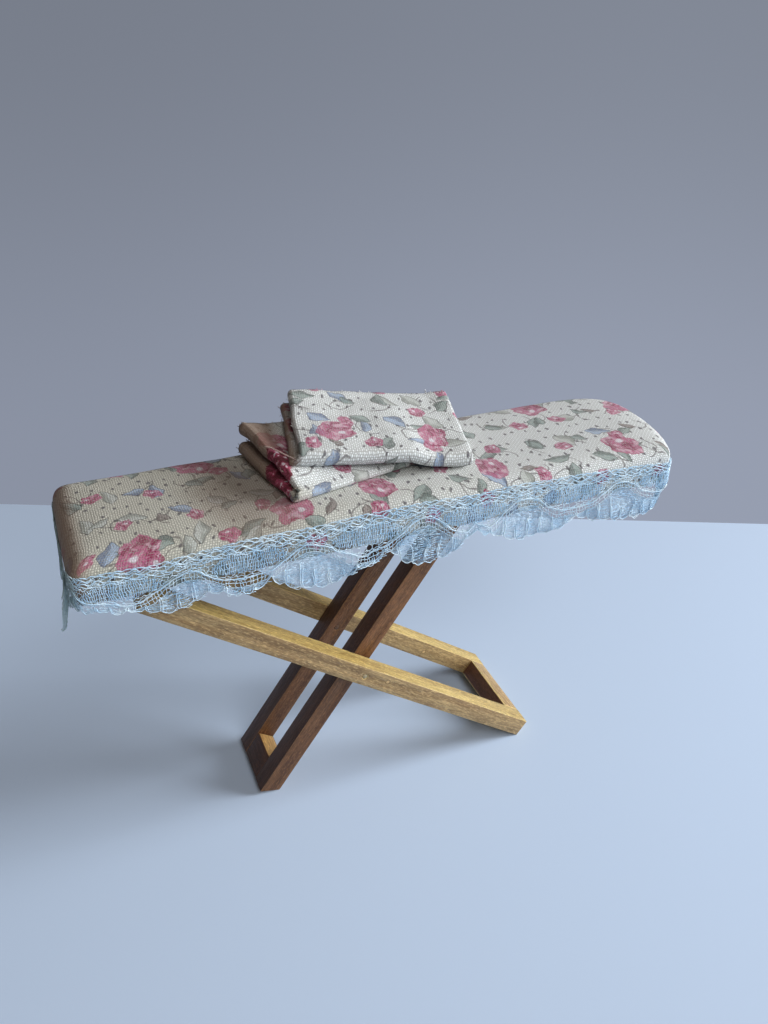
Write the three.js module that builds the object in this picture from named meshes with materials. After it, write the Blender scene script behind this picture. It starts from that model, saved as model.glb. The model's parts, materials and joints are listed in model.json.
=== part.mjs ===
// Dollhouse ironing board, a padded board on two crossed wooden frames
//
// Millimetres, +Z up. The object stands on z = 0 with its origin under the
// middle of its box. +X points to the rounded nose, -Y is the front.
//
// The wide outer frame hangs on two pins in a block under the square tail.
// The narrow inner frame turns on two pins where the frames cross, and its
// top bar carries the nose half of the board, against a small stop. Both
// frames swing up flat, one inside the other, under the board.
//
// The feature that takes the most skill is that fold: its lengths and angles are
// solved below from where the hinge, the two feet and the top bar have to be.

import * as THREE from "three";
import { mergeVertices } from "three/addons/utils/BufferGeometryUtils.js";

// Board
const BOARD_LENGTH = 113.4;
const BOARD_WIDTH = 28.4;
const UNDERSIDE_HEIGHT = 58.4;
const NOSE_FRONT_LENGTH = 4.8;
const NOSE_BACK_LENGTH = 20.4;
const TAIL_CORNER_LENGTH = 3;
const CORE_THICKNESS = 4;
const PADDING_THICKNESS = 2.6;
const COVER_THICKNESS = 0.4;
const COVER_GAP = 0.3;
const HEM_WIDTH = 3.4;
const HEM_CORNER_RADIUS = 0.8;
const SHOULDER_REACH = 3.2;
const SHOULDER_DROP = 2.6;
const CROWN_REACH = 8;
const CROWN_RISE = 0.3;

// Superellipse exponents and step counts of the board's outline
const NOSE_FRONT_EXPONENT = 1.7;
const NOSE_BACK_EXPONENT = 3.5;
const TAIL_EXPONENT = 6;
const NOSE_STEPS = 9;
const TAIL_STEPS = 5;
const SIDE_STEPS = 5;
const FINE_STEPS = 48;
const HEM_STEPS = 2;
const SHOULDER_STEPS = 5;
const PADDING_STEPS = 3;

// Lace edging, one strip glued round the top edge of the cover
const LACE_TOP_DROP = 1.4;
const LACE_HEIGHT = 10.9;
const LACE_THICKNESS = 0.35;
const LACE_GAP = 0.3;
const LACE_SEAM = 0.8;
const LACE_START = 10.5;
const LACE_END_DROP = 2.6;
const LACE_END_LENGTH = 4;
const SCALLOP_PITCH = 20.3;
const SCALLOP_DEPTH = 1.4;
const SCALLOP_START = 4.6;
const RIPPLE_PITCH = 10.15;
const RIPPLE_DEPTH = 0.3;
const LACE_FLARE = 0.35;
const LACE_COLUMNS = 54;
const LACE_ROWS = 4;
const LACE_BAR_SHARE = 0.34;
const CORNER_GATHER = 3;

// Leg strips: square-cut wood, width across the object and depth in its side view
const STRIP_WIDTH = 4;
const STRIP_DEPTH = 3.8;
const FRAME_INSET = 2.1;
const SIDE_CLEARANCE = 0.3;

// Stance and fold
const OUTER_FOOT_X = 26.8;
const INNER_FOOT_X = -25.2;
const INNER_ANGLE = THREE.MathUtils.degToRad(55.4);
const HINGE_INSET = 12.4;
const HINGE_DROP = 4.4;
const HINGE_END = 2.5;
const TOP_BAR_DROP = 1.2;
const INNER_FOOT_BEVEL = 1.4;

// Pins, hinge block and stop
const PIN_DIAMETER = 1;
const PIN_CLEARANCE = 0.1;
const PIN_GRIP = 3;
const PIN_SIDES = 12;
const HINGE_BLOCK_LENGTH = 5;
const HINGE_BLOCK_UNDER = 2.2;
const STOP_LENGTH = 2;
const STOP_OVERLAP = 1;
const STOP_CLEARANCE = 0.3;

// Folded cloths lying on the board
const SHEET_THICKNESS = 0.35;
const CLOTH_GAP = 0.3;
const CLOTH_STATIONS = 5;
const FOLD_STEPS = 4;
const LAYER_STEPS = 4;
const LOWER_CLOTH = {
  layers: 3,
  corner: new THREE.Vector2(-18.7, -9.2),
  yaw: THREE.MathUtils.degToRad(12.5),
  skew: 0,
  length: 22.5,
  width: 19.6,
  tightPitch: 0.45,
  frontPitch: 1.75,
  backPitch: 2.3,
  frontRun: 4.5,
};
const UPPER_CLOTH = {
  layers: 4,
  corner: new THREE.Vector2(-16.9, -4.9),
  yaw: THREE.MathUtils.degToRad(-7.1),
  skew: THREE.MathUtils.degToRad(-4.7),
  length: 30.6,
  width: 20.4,
  frontPitch: 0.75,
  backPitch: 1.4,
};
const PUFF_SHARE = 0.12;

// Places that follow from the sizes above
const halfLength = BOARD_LENGTH / 2;
const halfWidth = BOARD_WIDTH / 2;
const coreBottom = UNDERSIDE_HEIGHT + COVER_THICKNESS + COVER_GAP;
const coreTop = coreBottom + CORE_THICKNESS;
const paddingTop = coreTop + PADDING_THICKNESS;
const boardTop = paddingTop + COVER_GAP + COVER_THICKNESS;
const coreInset = COVER_THICKNESS + COVER_GAP;

const halfDepth = STRIP_DEPTH / 2;
const outerHalf = halfWidth - FRAME_INSET;
const outerInside = outerHalf - STRIP_WIDTH;
const innerHalf = outerInside - SIDE_CLEARANCE;
const innerInside = innerHalf - STRIP_WIDTH;
const pinRadius = PIN_DIAMETER / 2;
const holeRadius = pinRadius + PIN_CLEARANCE;

// The outer frame runs from its hinge to where its lower edge meets the floor
const hingeX = HINGE_INSET - halfLength;
const hingeZ = UNDERSIDE_HEIGHT - HINGE_DROP;
const hingeToFloor = Math.hypot(OUTER_FOOT_X - hingeX, hingeZ);
const outerReach = Math.sqrt(hingeToFloor ** 2 - halfDepth ** 2);
const outerAngle = Math.atan2(hingeZ, OUTER_FOOT_X - hingeX) - Math.atan2(halfDepth, outerReach);

// The centre lines of both frames meet at the crossing
const spanX = INNER_FOOT_X - halfDepth * Math.sin(INNER_ANGLE) - hingeX;
const spanZ = hingeZ - halfDepth * Math.cos(INNER_ANGLE);
const crossSine = Math.sin(outerAngle + INNER_ANGLE);
const crossing = (spanX * Math.sin(INNER_ANGLE) + spanZ * Math.cos(INNER_ANGLE)) / crossSine;
const innerFoot = (spanZ * Math.cos(outerAngle) - spanX * Math.sin(outerAngle)) / crossSine;
const crossingX = hingeX + crossing * Math.cos(outerAngle);
const crossingZ = hingeZ - crossing * Math.sin(outerAngle);

// The inner frame's top bar ends just under the board, its upper corner highest
const topBarZ = UNDERSIDE_HEIGHT - TOP_BAR_DROP;
const innerReach = (topBarZ - crossingZ - halfDepth * Math.cos(INNER_ANGLE)) / Math.sin(INNER_ANGLE);
const topBarX = crossingX + innerReach * Math.cos(INNER_ANGLE) - halfDepth * Math.sin(INNER_ANGLE);

// Materials
const material = (color, roughness, metalness = 0) =>
  new THREE.MeshStandardMaterial({ color, roughness, metalness });
const goldenWood = material(0x9c7a3c, 0.5);
const darkWood = material(0x6b4630, 0.55);
const rawWood = material(0xb99b6c, 0.7);
const wadding = material(0xf0ece2, 0.95);
const printedCotton = material(0xd9d2bf, 0.9);
const blueLace = material(0xa9c9dc, 0.85);
const pinSteel = material(0xb8b4aa, 0.35, 0.9);

// A closed outline of the board, drawn in by an inset, from the tail's middle
// along the front, round the nose and back
function boardOutline(inset, noseSteps = NOSE_STEPS, tailSteps = TAIL_STEPS, sideSteps = SIDE_STEPS) {
  const keep = 1 - inset / halfWidth;
  const half = halfWidth - inset;
  const points = [];
  const corner = (tipX, length, side, direction, exponent, steps, outwards) => {
    const reach = length * keep;
    const centre = tipX - direction * (inset + reach);
    for (let k = 0; k < steps; k += 1) {
      const share = outwards ? k / steps : 1 - k / steps;
      const angle = (share * Math.PI) / 2;
      const x = centre + direction * reach * Math.cos(angle) ** (2 / exponent);
      points.push(new THREE.Vector2(x, side * half * Math.sin(angle) ** (2 / exponent)));
    }
    return centre;
  };
  const straight = (fromX, toX, side) => {
    for (let k = 0; k < sideSteps; k += 1) {
      points.push(new THREE.Vector2(fromX + ((toX - fromX) * k) / sideSteps, side * half));
    }
  };
  const tailCentre = -halfLength + inset + TAIL_CORNER_LENGTH * keep;
  const frontCentre = halfLength - inset - NOSE_FRONT_LENGTH * keep;
  const backCentre = halfLength - inset - NOSE_BACK_LENGTH * keep;
  corner(-halfLength, TAIL_CORNER_LENGTH, -1, -1, TAIL_EXPONENT, tailSteps, true);
  straight(tailCentre, frontCentre, -1);
  corner(halfLength, NOSE_FRONT_LENGTH, -1, 1, NOSE_FRONT_EXPONENT, noseSteps, false);
  corner(halfLength, NOSE_BACK_LENGTH, 1, 1, NOSE_BACK_EXPONENT, noseSteps, true);
  straight(backCentre, tailCentre, 1);
  corner(-halfLength, TAIL_CORNER_LENGTH, 1, -1, TAIL_EXPONENT, tailSteps, false);
  return points;
}

// A closed solid from rings of equal length. Each end is closed by a ladder of
// rungs between the two sides of its ring: point k pairs with point pairing - k.
function ringSolid(rings, pairing) {
  const count = rings[0].length;
  const positions = rings.flat().flatMap((point) => point.toArray());
  const index = [];
  for (let r = 0; r + 1 < rings.length; r += 1) {
    for (let k = 0; k < count; k += 1) {
      const a = r * count + k;
      const b = r * count + ((k + 1) % count);
      index.push(a, b, b + count, a, b + count, a + count);
    }
  }
  const ladder = (offset, turned) => {
    for (let k = 0; k + 1 <= pairing - k - 1; k += 1) {
      const near = [k, k + 1].map((j) => offset + j);
      const far = [pairing - k - 1, pairing - k].map((j) => offset + (j % count));
      const corners = [...new Set([...near, ...far])];
      if (turned) corners.reverse();
      for (let j = 1; j + 1 < corners.length; j += 1) {
        index.push(corners[0], corners[j], corners[j + 1]);
      }
    }
  };
  ladder(0, true);
  ladder((rings.length - 1) * count, false);
  return facingOut(positions, index);
}

// Builds the geometry and turns its faces outward where they face in
function facingOut(positions, index) {
  const geometry = new THREE.BufferGeometry();
  geometry.setAttribute("position", new THREE.Float32BufferAttribute(positions, 3));
  const corner = (k) => new THREE.Vector3().fromArray(positions, 3 * index[k]);
  let volume = 0;
  for (let k = 0; k < index.length; k += 3) {
    volume += corner(k).dot(corner(k + 1).cross(corner(k + 2)));
  }
  if (volume < 0) {
    for (let k = 0; k < index.length; k += 3) {
      [index[k + 1], index[k + 2]] = [index[k + 2], index[k + 1]];
    }
  }
  geometry.setIndex(index);
  geometry.computeVertexNormals();
  return geometry;
}

// A solid from a section of the board, given as insets from the outline and
// heights. The front and back of the outline are each other's mirror in order.
function boardSolid(section) {
  const rings = section.map(([inset, height]) =>
    boardOutline(inset).map((point) => new THREE.Vector3(point.x, point.y, height)),
  );
  return ringSolid(rings, rings[0].length);
}

// A side-view shape, extruded across the object from fromY to toY
function acrossY(shape, fromY, toY) {
  const geometry = new THREE.ExtrudeGeometry(shape, {
    depth: toY - fromY,
    bevelEnabled: false,
    curveSegments: PIN_SIDES / 2,
  });
  const position = geometry.getAttribute("position");
  for (let k = 0; k < position.count; k += 1) {
    position.setXYZ(k, position.getX(k), toY - position.getZ(k), position.getY(k));
  }
  geometry.deleteAttribute("normal");
  geometry.deleteAttribute("uv");
  const merged = mergeVertices(geometry);
  merged.computeVertexNormals();
  return merged;
}

function polygonShape(corners) {
  return new THREE.Shape(corners.map(([x, z]) => new THREE.Vector2(x, z)));
}

function withHole(shape, x, z) {
  const hole = new THREE.Path();
  hole.absarc(x, z, holeRadius, 0, 2 * Math.PI, true);
  shape.holes.push(hole);
  return shape;
}

function named(name, geometry, surface) {
  const mesh = new THREE.Mesh(geometry, surface);
  mesh.name = name;
  return mesh;
}

// The wooden board inside the cover
function boardCore() {
  return boardSolid([
    [coreInset, coreBottom],
    [coreInset, coreTop],
  ]);
}

// An elliptical bend of a section, as insets from the outline and heights
function bend(centre, reach, rise, from, to, steps) {
  const points = [];
  for (let k = 0; k <= steps; k += 1) {
    const angle = from + ((to - from) * k) / steps;
    points.push([centre[0] - reach * Math.cos(angle), centre[1] + rise * Math.sin(angle)]);
  }
  return points;
}

// The shoulder of the padded top, a skin's depth below its surface
function shoulder(skin, steps) {
  const centre = [SHOULDER_REACH, boardTop - CROWN_RISE - SHOULDER_DROP];
  const rounded = bend(centre, SHOULDER_REACH - skin, SHOULDER_DROP - skin, 0, Math.PI / 2, steps);
  return [...rounded, [CROWN_REACH, boardTop - skin]];
}

// Wadding on the wood, rounded like the cover over it
function boardPadding() {
  return boardSolid([[coreInset, coreTop], ...shoulder(COVER_THICKNESS + COVER_GAP, PADDING_STEPS)]);
}

// The cover's section from its hem's inner edge under the board, round the
// bottom corner, up the side and over the shoulder to the crown
function coverSection(skin) {
  const centre = [HEM_CORNER_RADIUS, UNDERSIDE_HEIGHT + HEM_CORNER_RADIUS];
  const radius = HEM_CORNER_RADIUS - skin;
  return [
    [HEM_WIDTH, UNDERSIDE_HEIGHT + skin],
    ...bend(centre, radius, radius, -Math.PI / 2, 0, HEM_STEPS),
    ...shoulder(skin, SHOULDER_STEPS),
  ];
}

// The printed cover, open below inside its glued hem
function fabricCover() {
  return boardSolid([...coverSection(0).reverse(), ...coverSection(COVER_THICKNESS)]);
}

// A walk round the outline. It is measured on a parallel line outside, so that
// the lace is gathered closer round the corners.
function outlineWalk() {
  const points = boardOutline(0, FINE_STEPS, FINE_STEPS, FINE_STEPS);
  const next = (k) => (k + 1) % points.length;
  const before = (k) => (k + points.length - 1) % points.length;
  const normals = points.map((point, k) => {
    const along = points[next(k)].clone().sub(points[before(k)]).normalize();
    return new THREE.Vector2(along.y, -along.x);
  });
  const outer = points.map((point, k) => point.clone().addScaledVector(normals[k], CORNER_GATHER));
  const lengths = [0];
  outer.forEach((point, k) => lengths.push(lengths[k] + point.distanceTo(outer[next(k)])));
  const total = lengths[points.length];
  const at = (distance, offset) => {
    const wanted = distance % total;
    const k = lengths.findIndex((length) => length > wanted) - 1;
    const share = (wanted - lengths[k]) / (lengths[k + 1] - lengths[k]);
    const normal = normals[k].clone().lerp(normals[next(k)], share).normalize();
    return points[k].clone().lerp(points[next(k)], share).addScaledVector(normal, offset);
  };
  return { total, at };
}

// A net with square gaps over a surface given by two shares and a side
function netSolid(surface, columns, rows) {
  const lines = (gaps) => {
    const bar = LACE_BAR_SHARE / (gaps + LACE_BAR_SHARE);
    const pitch = (1 - bar) / gaps;
    const places = [];
    for (let k = 0; k <= gaps; k += 1) {
      places.push(k * pitch, k * pitch + bar);
    }
    return places;
  };
  const across = lines(columns);
  const down = lines(rows);
  const positions = [];
  for (const side of [0, 1]) {
    for (const v of down) {
      for (const u of across) {
        positions.push(...surface(u, v, side).toArray());
      }
    }
  }
  const layer = across.length * down.length;
  const at = (i, j, side) => side * layer + j * across.length + i;
  const filled = (i, j) =>
    i >= 0 && j >= 0 && i < across.length - 1 && j < down.length - 1 && !(i % 2 === 1 && j % 2 === 1);
  const index = [];
  const quad = (a, b, c, d) => index.push(a, b, c, a, c, d);
  for (let j = 0; j < down.length - 1; j += 1) {
    for (let i = 0; i < across.length - 1; i += 1) {
      if (!filled(i, j)) continue;
      quad(at(i, j, 1), at(i + 1, j, 1), at(i + 1, j + 1, 1), at(i, j + 1, 1));
      quad(at(i, j, 0), at(i, j + 1, 0), at(i + 1, j + 1, 0), at(i + 1, j, 0));
      if (!filled(i, j - 1)) quad(at(i, j, 0), at(i + 1, j, 0), at(i + 1, j, 1), at(i, j, 1));
      if (!filled(i + 1, j)) quad(at(i + 1, j, 0), at(i + 1, j + 1, 0), at(i + 1, j + 1, 1), at(i + 1, j, 1));
      if (!filled(i, j + 1)) quad(at(i + 1, j + 1, 0), at(i, j + 1, 0), at(i, j + 1, 1), at(i + 1, j + 1, 1));
      if (!filled(i - 1, j)) quad(at(i, j + 1, 0), at(i, j, 0), at(i, j, 1), at(i, j + 1, 1));
    }
  }
  return facingOut(positions, index);
}

// One strip of lace round the board, scalloped and rippling below, with its
// loose end hanging a little lower beside its start at the tail
function laceTrim() {
  const walk = outlineWalk();
  const length = walk.total - LACE_SEAM;
  const surface = (u, v, side) => {
    const along = u * length;
    const scallop = Math.cos((2 * Math.PI * (along - SCALLOP_START)) / SCALLOP_PITCH);
    const ripple = Math.sin((2 * Math.PI * along) / RIPPLE_PITCH);
    const toEnd = Math.max(0, 1 - (length - along) / LACE_END_LENGTH);
    const height = LACE_HEIGHT + SCALLOP_DEPTH * scallop + LACE_END_DROP * toEnd;
    const offset = LACE_GAP + side * LACE_THICKNESS + (LACE_FLARE + RIPPLE_DEPTH * ripple) * v * v;
    const foot = walk.at(along + LACE_START, offset);
    return new THREE.Vector3(foot.x, foot.y, boardTop - LACE_TOP_DROP - v * height);
  };
  return netSolid(surface, LACE_COLUMNS, LACE_ROWS);
}

// Outer frame, drawn from its hinge towards its foot
function outerLeg(fromY, toY) {
  const shape = polygonShape([
    [-HINGE_END, -halfDepth],
    [outerReach, -halfDepth],
    [outerReach, halfDepth],
    [-HINGE_END, halfDepth],
  ]);
  withHole(shape, 0, 0);
  withHole(shape, crossing, 0);
  return acrossY(shape, fromY, toY);
}

function outerFootBar() {
  const shape = polygonShape([
    [outerReach - STRIP_WIDTH, -halfDepth],
    [outerReach, -halfDepth],
    [outerReach, halfDepth],
    [outerReach - STRIP_WIDTH, halfDepth],
  ]);
  return acrossY(shape, -outerInside, outerInside);
}

// Inner frame, drawn from the crossing towards its top, with its foot behind
function innerLeg(fromY, toY) {
  const shape = polygonShape([
    [-innerFoot, -halfDepth],
    [innerReach, -halfDepth],
    [innerReach, halfDepth],
    [-innerFoot - INNER_FOOT_BEVEL, halfDepth],
  ]);
  withHole(shape, 0, 0);
  return acrossY(shape, fromY, toY);
}

function innerTopBar() {
  const shape = polygonShape([
    [innerReach - STRIP_WIDTH, -halfDepth],
    [innerReach, -halfDepth],
    [innerReach, halfDepth],
    [innerReach - STRIP_WIDTH, halfDepth],
  ]);
  return acrossY(shape, -innerInside, innerInside);
}

function innerFootBar() {
  const shape = polygonShape([
    [-innerFoot, -halfDepth],
    [-innerFoot + STRIP_WIDTH, -halfDepth],
    [-innerFoot + STRIP_WIDTH, halfDepth],
    [-innerFoot - INNER_FOOT_BEVEL, halfDepth],
  ]);
  return acrossY(shape, -innerInside, innerInside);
}

// A pin lying across the object, from one y to another
function pin(x, z, fromY, toY) {
  const circle = new THREE.Shape();
  circle.absarc(x, z, pinRadius, 0, 2 * Math.PI, false);
  return acrossY(circle, fromY, toY);
}

// The block under the tail that holds the outer frame's two pins
function hingeBlock() {
  const half = HINGE_BLOCK_LENGTH / 2;
  const shape = polygonShape([
    [hingeX - half, hingeZ - HINGE_BLOCK_UNDER],
    [hingeX + half, hingeZ - HINGE_BLOCK_UNDER],
    [hingeX + half, coreBottom],
    [hingeX - half, coreBottom],
  ]);
  withHole(shape, hingeX, hingeZ);
  return acrossY(shape, -innerHalf, innerHalf);
}

// The stop lies against the inner frame's top bar, on the tail's side of it
function stopCleat() {
  const bottom = topBarZ - STOP_OVERLAP;
  const upperFace = topBarX - STOP_CLEARANCE / Math.sin(INNER_ANGLE);
  const lowerFace = upperFace - STOP_OVERLAP / Math.tan(INNER_ANGLE);
  const shape = polygonShape([
    [lowerFace - STOP_LENGTH, bottom],
    [lowerFace, bottom],
    [upperFace, topBarZ],
    [upperFace, coreBottom],
    [lowerFace - STOP_LENGTH, coreBottom],
  ]);
  return acrossY(shape, SIDE_CLEARANCE - innerInside, innerInside - SIDE_CLEARANCE);
}

// The height of the lower cloth's folded layers at a place on the board,
// before its front edge is pressed flat. It goes on past the cloth's own
// edges, so that the upper cloth can lie along it.
function lowerPitch(x, y) {
  const front = LOWER_CLOTH.corner;
  const end = UPPER_CLOTH.corner.x + UPPER_CLOTH.length * Math.cos(UPPER_CLOTH.yaw);
  const slope = Math.max(0, (end - x) / (end - front.x));
  const back = (y - front.y) / (LOWER_CLOTH.width * Math.cos(LOWER_CLOTH.yaw));
  const raised = LOWER_CLOTH.frontPitch + (LOWER_CLOTH.backPitch - LOWER_CLOTH.frontPitch) * back;
  return LOWER_CLOTH.tightPitch + (raised - LOWER_CLOTH.tightPitch) * slope;
}

function lowerTop(x, y) {
  return boardTop + CLOTH_GAP + (LOWER_CLOTH.layers - 1) * lowerPitch(x, y) + SHEET_THICKNESS;
}

// The centre line of a sheet folded to and fro: how far back each point lies,
// as a share of the width, and how many layers up
function foldedLine(layers) {
  const points = [];
  for (let layer = 0; layer < layers; layer += 1) {
    const forward = layer % 2 === 0;
    for (let k = 0; k <= LAYER_STEPS; k += 1) {
      const share = k / LAYER_STEPS;
      points.push({ back: forward ? share : 1 - share, up: layer, bulge: 0 });
    }
    if (layer === layers - 1) break;
    for (let k = 1; k < FOLD_STEPS; k += 1) {
      const angle = (Math.PI * k) / FOLD_STEPS;
      const bulge = (forward ? 1 : -1) * Math.sin(angle);
      points.push({ back: forward ? 1 : 0, up: layer + (1 - Math.cos(angle)) / 2, bulge });
    }
  }
  return points;
}

// A folded cloth: the same folded section at stations along its length, each
// fitted to the base it lies on and to the pitch of its layers there
function foldedCloth(cloth, baseAt, pitchAt) {
  const line = foldedLine(cloth.layers);
  const lengthwise = new THREE.Vector2(Math.cos(cloth.yaw), Math.sin(cloth.yaw));
  const crosswise = new THREE.Vector2(-Math.sin(cloth.yaw + cloth.skew), Math.cos(cloth.yaw + cloth.skew));
  const rings = [];
  for (let station = 0; station < CLOTH_STATIONS; station += 1) {
    const along = (cloth.length * station) / (CLOTH_STATIONS - 1);
    const start = cloth.corner.clone().addScaledVector(lengthwise, along);
    const section = line.map(({ back, up, bulge }) => {
      const across = back * cloth.width;
      const place = start.clone().addScaledVector(crosswise, across);
      const pitch = pitchAt(place.x, place.y, across);
      const puff = 1 + PUFF_SHARE * Math.sin(Math.PI * back);
      const lift = up === 0 ? 0 : up * pitch * (up === cloth.layers - 1 ? 1 : puff);
      const height = baseAt(place.x, place.y, across, along) + SHEET_THICKNESS / 2 + lift;
      return new THREE.Vector2(across + (bulge * pitch) / 2, height);
    });
    const left = [];
    const right = [];
    section.forEach((point, k) => {
      const before = section[Math.max(0, k - 1)];
      const after = section[Math.min(section.length - 1, k + 1)];
      const normal = after.clone().sub(before).normalize();
      normal.set(-normal.y, normal.x).multiplyScalar(SHEET_THICKNESS / 2);
      left.push(point.clone().add(normal));
      right.push(point.clone().sub(normal));
    });
    const outline = [...left, ...right.reverse()];
    rings.push(
      outline.map((point) => {
        const foot = start.clone().addScaledVector(crosswise, point.x);
        return new THREE.Vector3(foot.x, foot.y, point.y);
      }),
    );
  }
  return ringSolid(rings, rings[0].length - 1);
}

function lowerCloth() {
  const base = () => boardTop + CLOTH_GAP;
  const pitch = (x, y, across) => {
    const share = THREE.MathUtils.smoothstep(across, -LOWER_CLOTH.frontRun / 4, LOWER_CLOTH.frontRun);
    return LOWER_CLOTH.tightPitch + (lowerPitch(x, y) - LOWER_CLOTH.tightPitch) * share;
  };
  return foldedCloth(LOWER_CLOTH, base, pitch);
}

// The upper cloth lies on the lower one and droops past its end to the board
function upperCloth() {
  const lowerEnd = LOWER_CLOTH.corner.x + LOWER_CLOTH.length * Math.cos(LOWER_CLOTH.yaw);
  const reach = lowerEnd - UPPER_CLOTH.corner.x;
  const base = (x, y, across, along) => {
    const past = Math.max(0, along - reach) / (UPPER_CLOTH.length - reach);
    const droop = lowerTop(x, y) - boardTop - CLOTH_GAP;
    return lowerTop(x, y) + CLOTH_GAP - droop * past * past * (1 - across / UPPER_CLOTH.width);
  };
  const pitch = (x, y, across) => {
    const share = across / UPPER_CLOTH.width;
    return UPPER_CLOTH.frontPitch + (UPPER_CLOTH.backPitch - UPPER_CLOTH.frontPitch) * share;
  };
  return foldedCloth(UPPER_CLOTH, base, pitch);
}

// Board with what is fixed to it
const board = new THREE.Group();
board.add(
  named("board_core", boardCore(), rawWood),
  named("board_padding", boardPadding(), wadding),
  named("fabric_cover", fabricCover(), printedCotton),
  named("lace_trim", laceTrim(), blueLace),
  named("hinge_block", hingeBlock(), rawWood),
  named("hinge_pin_front", pin(hingeX, hingeZ, -outerHalf, PIN_GRIP - outerInside), pinSteel),
  named("hinge_pin_back", pin(hingeX, hingeZ, outerInside - PIN_GRIP, outerHalf), pinSteel),
  named("stop_cleat", stopCleat(), rawWood),
);

// Inner frame, turned about the crossing
const innerFrame = new THREE.Group();
innerFrame.position.set(crossing, 0, 0);
innerFrame.rotation.y = -(outerAngle + INNER_ANGLE);
innerFrame.add(
  named("inner_leg_front", innerLeg(-innerHalf, -innerInside), darkWood),
  named("inner_leg_back", innerLeg(innerInside, innerHalf), darkWood),
  named("inner_top_bar", innerTopBar(), darkWood),
  named("inner_foot_bar", innerFootBar(), darkWood),
);

// Outer frame, turned about the hinge, carrying the inner frame
const outerFrame = new THREE.Group();
outerFrame.position.set(hingeX, 0, hingeZ);
outerFrame.rotation.y = outerAngle;
outerFrame.add(
  named("outer_leg_front", outerLeg(-outerHalf, -outerInside), goldenWood),
  named("outer_leg_back", outerLeg(outerInside, outerHalf), goldenWood),
  named("outer_foot_bar", outerFootBar(), goldenWood),
  named("pivot_pin_front", pin(crossing, 0, -outerHalf, PIN_GRIP - innerHalf), pinSteel),
  named("pivot_pin_back", pin(crossing, 0, innerHalf - PIN_GRIP, outerHalf), pinSteel),
  innerFrame,
);

const cloths = new THREE.Group();
cloths.add(
  named("folded_cloth_lower", lowerCloth(), printedCotton),
  named("folded_cloth_upper", upperCloth(), printedCotton),
);

const ironingBoard = new THREE.Group();
ironingBoard.add(board, outerFrame, cloths);

export default ironingBoard;
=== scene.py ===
# Dollhouse ironing board: the printed cover, its lace, the folded cloths and
# the finish of the wood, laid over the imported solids.
import json
import math
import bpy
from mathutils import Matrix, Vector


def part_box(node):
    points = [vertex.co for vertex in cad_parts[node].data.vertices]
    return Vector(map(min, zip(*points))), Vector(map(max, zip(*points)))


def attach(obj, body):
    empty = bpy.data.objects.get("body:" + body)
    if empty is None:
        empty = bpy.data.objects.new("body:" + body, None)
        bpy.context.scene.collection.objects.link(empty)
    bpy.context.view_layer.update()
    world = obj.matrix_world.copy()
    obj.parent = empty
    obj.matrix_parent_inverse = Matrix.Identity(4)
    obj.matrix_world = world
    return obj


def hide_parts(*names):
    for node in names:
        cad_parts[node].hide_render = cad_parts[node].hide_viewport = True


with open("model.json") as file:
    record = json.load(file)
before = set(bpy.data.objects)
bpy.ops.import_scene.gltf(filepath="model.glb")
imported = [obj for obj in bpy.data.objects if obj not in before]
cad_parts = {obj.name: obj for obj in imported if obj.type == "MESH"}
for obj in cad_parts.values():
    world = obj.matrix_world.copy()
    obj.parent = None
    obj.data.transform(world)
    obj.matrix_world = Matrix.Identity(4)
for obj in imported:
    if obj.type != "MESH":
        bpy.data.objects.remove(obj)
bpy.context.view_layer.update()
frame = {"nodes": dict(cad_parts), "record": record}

from types import SimpleNamespace

import bpy
import numpy as np
from mathutils import Matrix, Vector

MM = 0.001
TURN = 2 * math.pi
QUARTER = math.pi / 2

# Sizes in millimetres, as the solids have them
cover_low, cover_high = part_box("fabric_cover")
HALF_LENGTH = cover_high.x / MM
HALF_WIDTH = cover_high.y / MM
UNDERSIDE = cover_low.z / MM
BOARD_TOP = cover_high.z / MM
NOSE_FRONT = 4.8
NOSE_BACK = 20.4
TAIL_CORNER = 3.0
NOSE_FRONT_POWER = 1.7
NOSE_BACK_POWER = 3.5
TAIL_POWER = 6.0
SHOULDER_REACH = 3.2
SHOULDER_DROP = 2.6
CROWN_REACH = 8.0
CROWN_RISE = 0.3
HEM_WIDTH = 3.4
HEM_CORNER = 0.8
COVER_THICKNESS = 0.4
# How long the cover's way is round its bottom corner, shoulder and crown
CORNER_WAY = 1.2
SHOULDER_WAY = 4.6
CROWN_WAY = 4.8

LACE_TOP_DROP = 1.4
LACE_START = 10.5
LACE_SEAM = 0.8
LACE_HEIGHT = 10.9
LACE_END_DROP = 5.2
LACE_END_LENGTH = 2.6
SCALLOP_PITCH = 20.3
SCALLOP_DEPTH = 1.4
SCALLOP_START = 4.6
CORNER_GATHER = 3.0
NOSE_LEAN = 2.3
LEAN_START = 6.4
# Where a place comes to be at the front, and at the tail's end
AT_FRONT = (8.0, 13.0)
AT_TAIL = (HALF_LENGTH - 3, HALF_LENGTH - 0.5)

OUTER_ANGLE = math.radians(frame["record"]["behaviour"]["joints"][0]["range_deg"][1])
INNER_ANGLE = math.radians(55.4)

# Where the photo was taken from
CAMERA_PLACE = (-55.74, -134.79, 143.18)
CAMERA_TURN = math.radians(-22.54)
CAMERA_DIP = math.radians(31.02)
CAMERA_ROLL = math.radians(0.588)
FOCAL_PIXELS = 913.71
PHOTO_PIXELS = 1024
FILM_HEIGHT = 36

chance = np.random.default_rng(7)


def add_object(name, data):
    made = bpy.data.objects.new(name, data)
    bpy.context.scene.collection.objects.link(made)
    return made


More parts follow.
